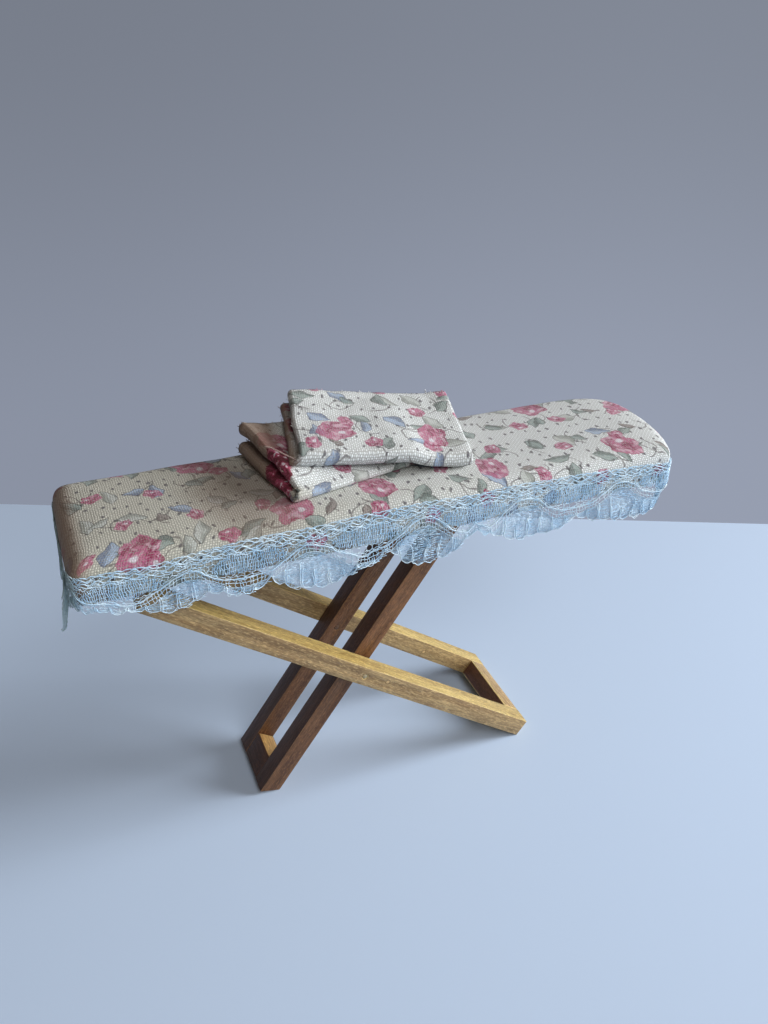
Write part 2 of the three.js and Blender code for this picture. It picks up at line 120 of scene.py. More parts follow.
def aim_camera():
    data = bpy.data.cameras.new("camera")
    data.sensor_fit = "VERTICAL"
    data.sensor_height = FILM_HEIGHT
    data.lens = FOCAL_PIXELS / PHOTO_PIXELS * FILM_HEIGHT
    data.clip_start = 0.005
    camera = add_object("camera", data)
    camera.matrix_world = (
        Matrix.Translation(Vector(CAMERA_PLACE) * MM)
        @ Matrix.Rotation(CAMERA_TURN, 4, "Z")
        @ Matrix.Rotation(QUARTER - CAMERA_DIP, 4, "X")
        @ Matrix.Rotation(CAMERA_ROLL, 4, "Z")
    )
    bpy.context.scene.camera = camera


aim_camera()


# Smooth unevenness of about the given size, between -1 and 1
def unevenness(x, y, size, seed):
    picks = np.random.default_rng(seed)
    total = np.zeros(np.broadcast(x, y).shape)
    for _ in range(7):
        heading = picks.uniform(0, TURN)
        length = size * picks.uniform(0.7, 1.6)
        along = x * math.cos(heading) + y * math.sin(heading)
        total = total + np.sin(TURN * along / length + picks.uniform(0, TURN))
    return total / 4


def eased(value, low, high):
    share = np.clip((value - low) / (high - low), 0, 1)
    return share * share * (3 - 2 * share)


def unit(arrows):
    return arrows / np.linalg.norm(arrows, axis=-1, keepdims=True)


# How far along a flat line each of its points lies
def walk(line):
    return np.append(0, np.cumsum(np.hypot(*np.diff(line, axis=0).T)))


def link_piece(name, mesh, body):
    piece = add_object(name, mesh)
    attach(piece, body)
    return piece


def pick_only(piece):
    bpy.ops.object.select_all(action="DESELECT")
    piece.select_set(True)
    bpy.context.view_layer.objects.active = piece


# Merges the points closer than "merge", eases the sharp edges by "ease" and
# turns the faces outward
def clean_mesh(piece, merge=0.0, ease=0.0):
    pick_only(piece)
    bpy.ops.object.mode_set(mode="EDIT")
    bpy.ops.mesh.select_mode(type="EDGE")
    bpy.ops.mesh.select_all(action="SELECT")
    if merge:
        bpy.ops.mesh.remove_doubles(threshold=merge * MM)
    if ease:
        bpy.ops.mesh.dissolve_limited(angle_limit=math.radians(0.5))
        bpy.ops.mesh.select_all(action="DESELECT")
        bpy.ops.mesh.edges_select_sharp(sharpness=math.radians(40))
        bpy.ops.mesh.bevel(offset=ease * MM, segments=3, affect="EDGES", clamp_overlap=True)
        bpy.ops.mesh.select_all(action="SELECT")
    bpy.ops.mesh.normals_make_consistent(inside=False)
    bpy.ops.object.mode_set(mode="OBJECT")


# Gives a sheet its thickness, inward at -1 and to both sides at 0
def thicken(piece, thickness, offset):
    wall = piece.modifiers.new("wall", "SOLIDIFY")
    wall.thickness = thickness * MM
    wall.offset = offset
    pick_only(piece)
    bpy.ops.object.modifier_apply(modifier="wall")


# A piece of four-cornered faces from points in millimetres, its faces outward
def quad_piece(name, body, slot, points, quads, cloth=None):
    spokes = points[quads] - points.mean(axis=0)
    volume = 0.0
    for second, third in ((1, 2), (2, 3)):
        crossed = np.cross(spokes[:, second], spokes[:, third])
        volume += np.einsum("ij,ij->", spokes[:, 0], crossed)
    if volume < 0:
        quads = quads[:, ::-1]
    mesh = bpy.data.meshes.new(name)
    mesh.from_pydata(points * MM, [], quads, shade_flat=False)
    if cloth is not None:
        layer = mesh.uv_layers.new(name="cloth")
        layer.data.foreach_set("uv", cloth[quads.ravel()].ravel())
    return link_piece(name, mesh, body)


# The faces between rows of points. A closed row is joined to its own start.
def grid_quads(rows, count, closed=False):
    columns = np.arange(count if closed else count - 1)
    row, column = np.meshgrid(np.arange(rows - 1), columns, indexing="ij")
    here = row * count + column
    beside = row * count + (column + 1) % count
    return np.stack([here, beside, beside + count, here + count], axis=-1).reshape(-1, 4)


# The board's outline

# A place on a bend, from its tip to its side, in shares of its two reaches
def bend_place(share, power):
    angle = share * QUARTER
    return np.cos(angle).clip(0) ** (2 / power), np.sin(angle) ** (2 / power)


# Even steps round a quarter bend
def bend_shares(reach, power, spacing):
    share = np.linspace(0, 1, 4001)
    x, y = bend_place(share, power)
    walked = walk(np.column_stack([reach * x, HALF_WIDTH * y]))
    count = int(round(walked[-1] / spacing))
    return np.interp(np.linspace(0, walked[-1], count + 1), walked, share)


# The outline drawn in by an inset, from the tail's middle along the front,
# round the nose and back
def board_ring(inset, spacing):
    keep = 1 - inset / HALF_WIDTH
    tail_x, tail_y = bend_place(bend_shares(TAIL_CORNER, TAIL_POWER, spacing), TAIL_POWER)
    tail_centre = -HALF_LENGTH + inset + TAIL_CORNER * keep
    straight = 2 * HALF_LENGTH - TAIL_CORNER - (NOSE_FRONT + NOSE_BACK) / 2
    side = np.linspace(0, 1, int(round(straight / spacing)) + 1)[:-1]
    halves = []
    for sign, reach, power in (
        (-1, NOSE_FRONT, NOSE_FRONT_POWER),
        (1, NOSE_BACK, NOSE_BACK_POWER),
    ):
        nose_x, nose_y = bend_place(bend_shares(reach, power, spacing)[::-1], power)
        nose_centre = HALF_LENGTH - inset - reach * keep
        x = np.concatenate([
            tail_centre - TAIL_CORNER * keep * tail_x[:-1],
            tail_centre + (nose_centre - tail_centre) * side,
            nose_centre + reach * keep * nose_x,
        ])
        y = sign * (HALF_WIDTH - inset) * np.concatenate([tail_y[:-1], 0 * side + 1, nose_y])
        halves.append(np.column_stack([x, y]))
    front, back = halves
    return np.vstack([front[:-1], back[::-1][:-1]])


def ring_normals(ring):
    along = unit(np.roll(ring, -1, axis=0) - np.roll(ring, 1, axis=0))
    return np.column_stack([along[:, 1], -along[:, 0]])


# The cover's section from under its hem, round the bottom corner, up the side
# and over the shoulder to the board's middle: insets from the outline, heights
def cover_section(skin, fineness):
    def steps(low, high, length):
        return np.linspace(low, high, max(2, int(round(length / fineness))), endpoint=False)

    radius = HEM_CORNER - skin
    low = UNDERSIDE + HEM_CORNER
    high = BOARD_TOP - CROWN_RISE - SHOULDER_DROP
    hem = steps(HEM_WIDTH, HEM_CORNER, HEM_WIDTH - HEM_CORNER)
    corner = steps(-QUARTER, 0, CORNER_WAY)
    side = steps(low, high, high - low)
    shoulder = steps(0, QUARTER, SHOULDER_WAY)
    shoulder_inset = SHOULDER_REACH - (SHOULDER_REACH - skin) * np.cos(shoulder)
    crown = steps(SHOULDER_REACH, CROWN_REACH, CROWN_WAY)
    climb = (crown - SHOULDER_REACH) / (CROWN_REACH - SHOULDER_REACH)
    middle = steps(CROWN_REACH, HALF_WIDTH, HALF_WIDTH - CROWN_REACH)
    parts = (
        (hem, UNDERSIDE + skin),
        (HEM_CORNER - radius * np.cos(corner), low + radius * np.sin(corner)),
        (skin, side),
        (shoulder_inset, high + (SHOULDER_DROP - skin) * np.sin(shoulder)),
        (crown, BOARD_TOP - skin - CROWN_RISE + CROWN_RISE * np.sin(climb * QUARTER)),
        (np.append(middle, HALF_WIDTH), BOARD_TOP - skin),
    )
    return np.vstack([np.column_stack(np.broadcast_arrays(*part)) for part in parts])


# The printed cotton, stretched over the board and turned under it
def stretch_cover():
    spacing = 0.55
    section = cover_section(0.0, spacing)
    flat_ring = board_ring(SHOULDER_REACH, spacing)
    outward = ring_normals(flat_ring)
    walked = walk(section)
    edge = walked[np.argmin(np.abs(section[:, 0] - SHOULDER_REACH) + (section[:, 1] < BOARD_TOP - 1))]
    points = []
    cloth = []
    for (inset, height), distance in zip(section, walked):
        ring = board_ring(inset, spacing)
        x, y = ring.T
        top = np.clip((height - UNDERSIDE - 4.5) / 3, 0, 1)
        sag = 0.06 * unevenness(x, y, 17, 3) - 0.07
        level = height + top * (sag + 0.03 * unevenness(x, y, 6, 4))
        along = np.arange(len(ring)) * spacing
        pull = (1 - top) * 0.07 * unevenness(along, distance * 0.3, 5, 5)
        normal = ring_normals(board_ring(min(inset, 12.0), spacing))
        points.append(np.column_stack([ring + normal * pull[:, None], level]))
        if inset >= SHOULDER_REACH and height > BOARD_TOP - 1:
            cloth.append(ring)
        else:
            cloth.append(flat_ring + outward * (edge - distance))
    quads = grid_quads(len(points), len(points[0]), closed=True)
    laid = (np.vstack(points), quads, np.vstack(cloth))
    cover = quad_piece("printed_cover", "board", "printed_cotton", *laid)
    clean_mesh(cover, merge=0.002)
    thicken(cover, COVER_THICKNESS, -1)
    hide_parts("fabric_cover")
    return cover


# The wadding between the board and its cover
def fill_padding():
    spacing = 1.1
    skin = COVER_THICKNESS + 0.3
    core_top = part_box("board_core")[1].z / MM
    points = []
    for inset in (HALF_WIDTH, skin + 6, skin):
        points.append(np.insert(board_ring(inset, spacing), 2, core_top, axis=1))
    for inset, height in cover_section(skin, spacing):
        if height > core_top + 0.1:
            x, y = board_ring(inset, spacing).T
            points.append(np.column_stack([x, y, height - 0.12 + 0.09 * unevenness(x, y, 5, 9)]))
    quads = grid_quads(len(points), len(points[0]), closed=True)
    pad = quad_piece("wadding", "board", "wadding", np.vstack(points), quads)
    clean_mesh(pad, merge=0.002)
    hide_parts("board_padding")
    return pad


# Closed strands along lines. Each line has the same number of points, and
# "out" is the direction that its flat side faces.
def strands(lines, radius, out=(0.0, 0.0, 1.0)):
    lines = np.asarray(lines, float)
    out = np.broadcast_to(np.asarray(out, float), lines.shape)
    across = unit(np.cross(out, np.gradient(lines, axis=1)))
    radius = np.broadcast_to(np.asarray(radius, float), lines.shape[:2])[..., None]
    rims = []
    for corner in range(4):
        angle = TURN * (corner + 0.5) / 4
        rims.append(lines + radius * (across * math.cos(angle) + out * math.sin(angle)))
    points = np.stack(rims, axis=2)
    number, length = lines.shape[:2]
    index = np.arange(number * length * 4).reshape(number, length, 4)
    turned_on = np.roll(index, -1, axis=2)
    walls = np.stack([index[:, :-1], turned_on[:, :-1], turned_on[:, 1:], index[:, 1:]], axis=-1)
    quads = np.vstack([walls.reshape(-1, 4), index[:, 0, ::-1], index[:, -1, :]])
    return points.reshape(-1, 3), quads


def joined(sets):
    points, quads = zip(*sets)
    starts = np.cumsum([0] + [len(some) for some in points])
    return np.vstack(points), np.vstack([some + start for some, start in zip(quads, starts)])


# The lace is drawn flat: u along the strip, v down from its top edge, w out.
# The rim is where it goes, with the way out from the board at each place.
rim = board_ring(0, 0.4)
rim = np.column_stack([rim, ring_normals(rim)])
rim = np.vstack([rim, rim[:1]])
rim_walk = walk(rim[:, :2] + rim[:, 2:] * CORNER_GATHER)
LACE_LENGTH = rim_walk[-1] - LACE_SEAM
LOOSE_FROM = LACE_LENGTH - LACE_END_LENGTH

# Along the front the strip was pushed together by hand: places along the
# board, how far the lower edge hangs there, and how much lower it is glued
FRONT_HANG = (
    (-56.8, 6.3), (-50, 8.4), (-43, 10.4), (-38, 9.6), (-36.5, 8.4), (-29, 10.2),
    (-26, 8.4), (-24.5, 10.0), (-16.5, 12.4), (-8, 9.4), (-4.7, 7.9), (-2.8, 10.6),
    (3, 12.4), (7.5, 11.0), (11.4, 7.4), (12, 8.0), (20, 11.2), (27, 11.5), (31, 9.4),
    (38, 11.2), (45, 12.4), (50, 12.8), (56, 11.4),
)
GLUED_LOWER = (
    (-56.8, 0.9), (-50, 1.1), (-44, 1.5), (-37, 0.6), (-30, 0.05), (0, -0.1),
    (15, 0.2), (32, 0.6), (41, 1.3), (47, 1.7), (55, 2.3),
)


def rim_place(u):
    walked = np.mod(u + LACE_START, rim_walk[-1])
    return [np.interp(walked, rim_walk, column) for column in rim.T]


def scallop_swing(u):
    return np.cos(TURN * (u - SCALLOP_START) / SCALLOP_PITCH)


def lace_height(u):
    x, y = rim_place(u)[:2]
    even = LACE_HEIGHT - SCALLOP_DEPTH * scallop_swing(u)
    return even + (np.interp(x, *zip(*FRONT_HANG)) - even) * eased(-y, *AT_FRONT)


def lace_sag(u):
    x, y = rim_place(u)[:2]
    nose = eased(x, 20.0, HALF_LENGTH - 3)
    tail = eased(-x, *AT_TAIL)
    behind = 1.0 + 1.2 * tail + 1.3 * nose * eased(-y, -12.0, 2.0)
    return behind + (np.interp(x, *zip(*GLUED_LOWER)) - behind) * eased(-y, *AT_FRONT)


# Where a flat point of the lace lies round the board
def lay_round(flat):
    u, v, w = flat.T
    height = lace_height(u)
    loose = eased(u, LOOSE_FROM, LACE_LENGTH - LACE_END_LENGTH / 2)
    share = v / height
    hidden = lace_sag(u)
    fall = v * (1 - hidden / height) * (1 + LACE_END_DROP * loose / height) + hidden
    fall = fall + 0.3 * unevenness(u, 0, 15, 21) * (1 - share)
    fall = fall + 0.3 * unevenness(u, v, 5, 25) * np.clip(share * 2, 0, 1)
    u = u + 0.3 * unevenness(u, v * 1.5, 6, 26)
    free = np.clip((v - 6.5) / 4, 0, 1)
    ripple = 0.3 * np.sin(TURN * u / (SCALLOP_PITCH / 2)) + 0.25 * unevenness(u, v, 9, 22)
    reach = 0.28 + w + 0.3 * share * share + ripple * free + 0.05 * unevenness(u, v, 4, 23)
    flare = np.clip((u - LOOSE_FROM) / LACE_END_LENGTH, 0, 1)
    reach = reach + (0.5 * loose + 1.5 * flare) * share
    x, y, out_x, out_y = rim_place(u)
    reach = reach - 0.16 * eased(-x, *AT_TAIL)
    lean = (np.clip(fall - LEAN_START, 0, None) / 6) ** 1.3
    reach = reach - eased(x, 44.0, 54.0) * NOSE_LEAN * lean
    reach = reach / np.hypot(out_x, out_y)
    return np.column_stack([x + out_x * reach, y + out_y * reach, BOARD_TOP - LACE_TOP_DROP - fall])


def flat_points(u, v, w):
    return np.stack(np.broadcast_arrays(u, v, w), axis=-1)


# Steps along the whole strip, and a cord that follows them
def along_lace(spacing):
    return np.linspace(0, LACE_LENGTH, int(LACE_LENGTH / spacing))


def cord(u, v, w, radius):
    return strands(flat_points(u, v, w)[None], radius)


# Upright threads between two edges at each place u
def uprights(places, top, bottom, count, sway, radius, w=0.1):
    v = top[:, None] + (bottom - top)[:, None] * np.linspace(0, 1, count)
    u = places[:, None] + sway * chance.standard_normal(v.shape)
    return strands(flat_points(u, v, w), radius)


def dashes(u, level, length, wobble, w):
    level = level + 0 * u
    ends = u[:, None] + np.array([0.0, 0.5, 1.0]) * (length + 0.04)
    v = level[:, None] + wobble * chance.standard_normal(ends.shape) * 0.5
    return flat_points(ends, v, w)


def gimp_line(u):
    swing = scallop_swing(u) * (1 + 0.16 * unevenness(u, 0, 31, 27))
    fine = 0.35 * np.cos(2 * TURN * (u - SCALLOP_START) / SCALLOP_PITCH)
    line = 5.5 - 2.15 * swing - fine + 0.25 * unevenness(u, 0, 8, 28)
    return np.minimum(line, lace_height(u) - 1.6)


# How far a place is from the middle between two high arches of the gimp
def from_dip(u):
    return np.abs(np.mod(u - SCALLOP_START, SCALLOP_PITCH) - SCALLOP_PITCH / 2)


LEAF_LEVEL = 3.9
LEAF_REACH = 6.3
OPENINGS_HEIGHT = 1.7
BAR_PITCH = SCALLOP_PITCH / 8
EDGE_BOW = 0.6


# The worked leaf between two arches: its upper and lower edge
def leaf_edges(u):
    place = from_dip(u) / LEAF_REACH
    swell = np.sqrt(np.clip(1 - place * place, 0, None))
    return LEAF_LEVEL - 1.75 * swell, LEAF_LEVEL + 2.0 * swell, place < 1


# The upper edge of the dense band under the openings
def band_top(u):
    return gimp_line(u) + OPENINGS_HEIGHT


def lace_edge(u):
    share = np.mod(u, BAR_PITCH) / BAR_PITCH
    bowed = EDGE_BOW * 4 * share * (1 - share)
    ragged = 0.1 * unevenness(u, 0, 0.9, 33) + 0.2 * unevenness(u, 0, 3.1, 34)
    return lace_height(u) - 0.5 + bowed + ragged


def lay_strands(name, sets):
    points, quads = joined(sets)
    return quad_piece(name, "board", "blue_lace", lay_round(points), quads)


# Wavy cords along the top, crossing and tied to each other
def header_cords():
    sets = []
    u = along_lace(0.3)
    for number, (level, swing, length, radius) in enumerate((
        (0.1, 0.14, 1.9, 0.085),
        (0.5, 0.27, 2.6, 0.11),
        (0.95, 0.26, 2.1, 0.09),
        (1.35, 0.3, 2.9, 0.11),
        (1.85, 0.27, 2.4, 0.1),
        (2.35, 0.2, 3.1, 0.085),
    )):
        drift = 1.5 * unevenness(u, 0, 4.5, 50 + number)
        wave = swing * np.sin(TURN * u / length + 1.7 * number + drift)
        v = level + wave + 0.12 * unevenness(u, 0, 1.3, 60 + number)
        sets.append(cord(u, v, 0.04 + 0.06 * (number % 2), radius))
    ties = np.sort(chance.uniform(0.4, LACE_LENGTH - 0.5, int(LACE_LENGTH / 0.5)))
    top = chance.uniform(0.0, 1.7, len(ties))
    bottom = top + chance.uniform(0.4, 1.1, len(ties))
    sets.append(uprights(ties, top, bottom, 4, 0.14, 0.06))
    picots = np.arange(0.7, LACE_LENGTH - 0.7, 1.27)
    bow = np.linspace(-1, 1, 5)
    loops = flat_points(picots[:, None] + 0.42 * bow, 0.1 - 0.14 * (1 - bow * bow), 0.05)
    sets.append(strands(loops, 0.06))
    return sets


# The heavy cord that arches along the strip, with finer ones beside it
def gimp_cords():
    sets = []
    u = along_lace(0.22)
    for drop, wander, seed, w, radius in (
        (0.0, 0.1, 71, 0.2, 0.1),
        (0.22, 0.14, 72, 0.16, 0.07),
        (-0.35, 0.2, 73, 0.1, 0.055),
    ):
        v = gimp_line(u) + drop + wander * unevenness(u, 0, 1.1, seed)
        sets.append(cord(u, v, w, radius))
    return sets


# The worked leaves: close upright threads, and threads across them
def worked_threads():
    places = np.arange(0.2, LACE_LENGTH - 0.2, 0.36)
    top, bottom, inside = leaf_edges(places)
    leaves = uprights(places[inside], top[inside], bottom[inside], 7, 0.09, 0.08)
    lines = []
    for level in np.arange(2.3, 6.1, 0.7):
        u = np.arange(0.2, LACE_LENGTH - 0.7, 0.5) + chance.uniform(0, 0.5)
        top, bottom, inside = leaf_edges(u)
        keep = inside & (top < level) & (bottom > level)
        lines.append(dashes(u[keep], level, 0.5, 0.16, 0.08))
    return [leaves, strands(np.vstack(lines), 0.05)]


# Six-sided net between the header and the gimp, around the leaves
def net_threads():
    cell = 1.3
    lines = []
    for row in range(8):
        u = np.arange(0.4 + (row % 2) * cell / 2, LACE_LENGTH - 1.4, cell)
        start, peak, end, down = (
            flat_points(u + aside * cell, 2.2 + row + lower, 0.06)
            for aside, lower in ((0, 0), (0.5, -0.3), (1, 0), (0, 0.7))
        )
        for first, last in ((start, peak), (peak, end), (start, down)):
            lines.append(np.stack([first, (first + last) / 2, last], axis=1))
    lines = np.vstack(lines)
    lines[..., :2] += 0.08 * chance.standard_normal(lines[..., :2].shape)
    u, v, _ = lines[:, 1].T
    top, bottom, inside = leaf_edges(u)
    on_leaf = inside & (v > top) & (v < bottom)
    keep = ~on_leaf & (v < lace_edge(u) - 0.3) & (v < gimp_line(u) + 0.3)
    return [strands(lines[keep], 0.065)]


# Two rows of small openings under the gimp
def opening_bars():
    places = np.arange(0.5, LACE_LENGTH - 0.5, 0.62)
    places = places + 0.1 * chance.standard_normal(len(places))
    low = np.minimum(band_top(places), lace_edge(places) - 0.5)
    sets = [uprights(places, gimp_line(places) + 0.1, low, 5, 0.1, 0.06)]
    u = along_lace(0.25)
    for drop, seed in ((0.95, 76), (OPENINGS_HEIGHT, 77)):
        level = gimp_line(u) + drop + 0.14 * unevenness(u, 0, 1.2, seed)
        sets.append(cord(u, np.minimum(level, lace_edge(u) - 0.3), 0.08, 0.06))
    return sets


# The finest ground under the openings, closer and thicker between two arches
def gauze_threads():
    u = np.arange(0.15, LACE_LENGTH - 0.1, 0.21)
    thick = 0.035 + 0.017 * eased(-from_dip(u), -8.0, -5.0)
    bottom = lace_edge(u) - 0.1
    top = np.minimum(band_top(u), bottom - 0.3)
    sets = [uprights(u, top, bottom, 5, 0.02, thick[:, None], 0.0)]
    lines = []
    for level in np.arange(0.15, 8.6, 0.27):
        u = np.arange(0.15, LACE_LENGTH - 2.5, 1.2) + chance.uniform(0, 1.2)
        v = lace_edge(u) - level
        keep = v > band_top(u)
        lines.append(dashes(u[keep], v[keep], 1.2, 0.05, 0.0))
    return sets + [strands(np.vstack(lines), 0.045)]


# Bright upright bars, the bowed cord along the lower edge and its loose loops
def edge_cords():
    u = along_lace(0.2)
    sets = [cord(u, lace_edge(u), 0.12, 0.085)]
    bars = np.arange(BAR_PITCH, LACE_LENGTH - 0.3, BAR_PITCH)
    bars = bars + chance.uniform(-0.15, 0.15, len(bars))
    bars = np.sort(np.concatenate([bars, bars + chance.uniform(0.25, 0.45, len(bars))]))
    drop = lace_edge(bars)
    top = np.maximum(band_top(bars), drop - chance.uniform(1.6, 4.5, len(bars)))
    sets.append(uprights(bars, np.minimum(top, drop - 0.8), drop, 6, 0.07, 0.085, 0.14))
    places = np.sort(chance.uniform(0.6, LACE_LENGTH - 0.6, 50))[:, None]
    bow = np.linspace(-1, 1, 7)
    wide = chance.uniform(0.3, 0.8, places.shape)
    u = places + wide * bow + 0.06 * chance.standard_normal((len(places), 7))
    v = lace_edge(places) + chance.uniform(0.15, 0.5, places.shape) * (1 - bow * bow)
    sets.append(strands(flat_points(u, v, 0.2), 0.045))
    return sets


def trim_with_lace():
    leaves = worked_threads()
    worked = lay_strands("lace_threads", leaves + gauze_threads())
    leaf_faces = sum(len(quads) for _, quads in leaves)
    faces = worked.data.polygons
    faces.foreach_set("material_index", np.arange(len(faces)) >= leaf_faces)
    others = [
        lay_strands("lace_header", header_cords()),
        lay_strands("lace_gimp", gimp_cords()),
        lay_strands("lace_net", net_threads() + opening_bars()),
        lay_strands("lace_edging", edge_cords()),
    ]
    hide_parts("lace_trim")
    return [worked] + others


# The folded cloths. Each is folded in two along its length, with that fold to
# the left, and then in two across, with that fold to the front.
SHEET = 0.32
LOWER = SimpleNamespace(
    layers=3,
    corner=(-18.7, -9.2),
    yaw=math.radians(12.5),
    skew=0.0,
    length=22.5,
    width=20.6,
    tight=0.45,
    front=1.75,
    back=2.3,
    front_run=4.5,
    curl=1.0,
    stagger=0.9,
)
UPPER = SimpleNamespace(
    layers=4,
    corner=(-16.9, -4.9),
    yaw=math.radians(-7.1),
    skew=math.radians(-4.7),
    length=30.6,
    width=20.9,
    front=0.75,
    back=1.4,
    curl=0.3,
    stagger=1.7,
)
SOLID_SHEET = 0.35
CLOTH_GAP = 0.3
SETTLED = 0.2
FOLD_BULGE = 0.36
DOUBLE_SHARE = 0.47


def lower_pitch(x, y):
    left, front = LOWER.corner
    end = UPPER.corner[0] + UPPER.length * math.cos(UPPER.yaw)
    slope = np.clip((end - x) / (end - left), 0, None)
    back = (y - front) / (LOWER.width * math.cos(LOWER.yaw))
    raised = LOWER.front + (LOWER.back - LOWER.front) * back
    return LOWER.tight + (raised - LOWER.tight) * slope


def lower_top(x, y):
    return BOARD_TOP + CLOTH_GAP + (LOWER.layers - 1) * lower_pitch(x, y) + SOLID_SHEET


def lower_base(x, y, across, along):
    return np.full(x.shape, BOARD_TOP + CLOTH_GAP - SETTLED)


def lower_stack(x, y, across):
    share = eased(across, -LOWER.front_run / 4, LOWER.front_run)
    pitch = LOWER.tight + (lower_pitch(x, y) - LOWER.tight) * share
    return (LOWER.layers - 1) * pitch + SOLID_SHEET


def upper_base(x, y, across, along):
    reach = LOWER.corner[0] + LOWER.length * math.cos(LOWER.yaw) - UPPER.corner[0]
    past = np.clip(along - reach, 0, None) / (UPPER.length - reach)
    droop = lower_top(x, y) - BOARD_TOP - CLOTH_GAP
    rest = droop * past * (2 - past) * (1 - across / UPPER.width)
    return lower_top(x, y) + CLOTH_GAP - 2 * SETTLED - rest


def upper_stack(x, y, across):
    pitch = UPPER.front + (UPPER.back - UPPER.front) * across / UPPER.width
    return (UPPER.layers - 1) * pitch + SOLID_SHEET


# The way along the folded length: how far along, how much of the fold's own
# reach is added, and which of the two sheets, from -1 to 1
def lengthwise_path(length):
    far = np.linspace(1, 0, 52)
    rounding = np.linspace(-QUARTER, QUARTER, 11)[1:-1]
    curl = np.linspace(QUARTER, -math.pi / 3, 8)[1:]
    share = np.concatenate([far, 0 * rounding, far[::-1], 1 + 0 * curl])
    reach = np.concatenate([1 - 2 * far, 1 - np.cos(rounding), 1 - 2 * far[::-1], np.cos(curl) - 1])
    sheet = np.concatenate([-1 + 0 * far, np.sin(rounding), 1 + 0 * far, np.sin(curl)])
    return share * length, reach, sheet


# The way across: from the back under the fold in front and back over it
def crosswise_path():
    back = np.linspace(1, 0, 34)
    angle = np.linspace(0, math.pi, 14)[1:-1]
    share = np.concatenate([back, 0 * angle, back[::-1]])
    up = np.concatenate([0 * back, (1 - np.cos(angle)) / 2, 1 + 0 * back])
    bulge = np.concatenate([0 * back, np.sin(angle), 0 * back])
    return share, up, bulge


# The folded cloth as a grid of points, and their places on the flat cloth
def fold_cloth(cloth, base_at, stack_at, seed, origin):
    lengthwise = np.array([math.cos(cloth.yaw), math.sin(cloth.yaw)])
    leaning = cloth.yaw + cloth.skew
    crosswise = np.array([-math.sin(leaning), math.cos(leaning)])
    corner = np.array(cloth.corner)
    share, up, bulge = crosswise_path()
    rows = []
    for along, reach, sheet in zip(*lengthwise_path(cloth.length)):
        across = share * cloth.width
        for _ in range(2):
            x, y = (corner + along * lengthwise + across[:, None] * crosswise).T
            stack = stack_at(x, y, across)
            double = DOUBLE_SHARE * stack
            rise = stack - double
            front = FOLD_BULGE * stack
            across = front + share * (cloth.width - front)
        spare = 0.5 * (double - SHEET)
        slack = 0.12 * unevenness(x, y, 9, seed) * (0.3 + up)
        slack = slack + 0.1 * unevenness(x, y + 9 * up, 4, seed + 2)
        base = base_at(x, y, across, along)
        height = base + double / 2 + up * rise + slack * eased(stack, 1.0, 3.0)
        middle = np.column_stack([across - bulge * rise * FOLD_BULGE, height])
        run = unit(np.gradient(middle, axis=0))
        normal = np.column_stack([-run[:, 1], run[:, 0]])
        middle = middle + normal * (sheet * spare)[:, None]
        ragged = 0.35 * unevenness(across + 40 * up, 0, 9, seed + 1)
        left = 1 - along / cloth.length
        middle[:, 1] += cloth.curl * left**8 * up * (0.3 + 0.7 * share)
        out = along + 0.8 * reach * spare + left * (ragged - cloth.stagger * (1 - up))
        foot = corner + out[:, None] * lengthwise + middle[:, :1] * crosswise
        rows.append(np.column_stack([foot, middle[:, 1]]))
    grid = np.array(rows)
    down = np.linalg.norm(np.diff(grid, axis=0), axis=2).mean(axis=1)
    over = np.linalg.norm(np.diff(grid, axis=1), axis=2).mean(axis=0)
    u, v = np.meshgrid(
        np.append(0, np.cumsum(down)) + origin[0],
        np.append(0, np.cumsum(over)) + origin[1],
        indexing="ij",
    )
    return grid, np.stack([u, v], axis=-1)


# A white thread lying loose on the lower cloth
LOOSE_THREAD = ((-21.4, 1.2, 72.5), (-20.5, -0.6, 72.8), (-19.4, -2.4, 72.6), (-17.6, -4.4, 72.0))


def smooth_line(places):
    share = np.linspace(0, 1, len(places))
    even = np.linspace(0, 1, 16)
    bends = [np.polyfit(share, side, 3) for side in np.transpose(places)]
    return np.column_stack([np.polyval(bend, even) for bend in bends])


# Loose thread ends along the open edges of a folded cloth
def fray(name, grid, marks, body):
    sets = []
    mark_sets = []
    fold = len(grid) // 2 - 3
    for edge, inner, mark in (
        (grid[:, 0], grid[:, 2], marks[:, 0]),
        (grid[:, -1], grid[:, -3], marks[:, -1]),
        (grid[0], grid[2], marks[0]),
        (grid[fold], grid[fold - 6], marks[fold]),
    ):
        picks = np.sort(chance.uniform(0, len(edge) - 1.01, 2 * len(edge)))
        low = picks.astype(int)
        share = (picks - low)[:, None]
        foot = edge[low] * (1 - share) + edge[low + 1] * share
        way = unit(edge - inner)[low]
        long = chance.gamma(1.6, 0.2, len(foot))[:, None].clip(0.05, 1.2)
        stray = chance.standard_normal((len(foot), 3)) * 0.28
        stray[:, 2] -= 0.12
        steps = np.linspace(0, 1, 4)[None, :, None]
        line = foot[:, None] - way[:, None] * 0.2 + way[:, None] * long[:, None] * steps
        line = line + stray[:, None] * long[:, None] * steps**2
        sets.append(strands(line, 0.06, out=(0.2, 0.1, 0.97)))
        mark_sets.append(np.repeat(mark[low], 16, axis=0))
    return quad_piece(name, body, "printed_cotton", *joined(sets), np.vstack(mark_sets))


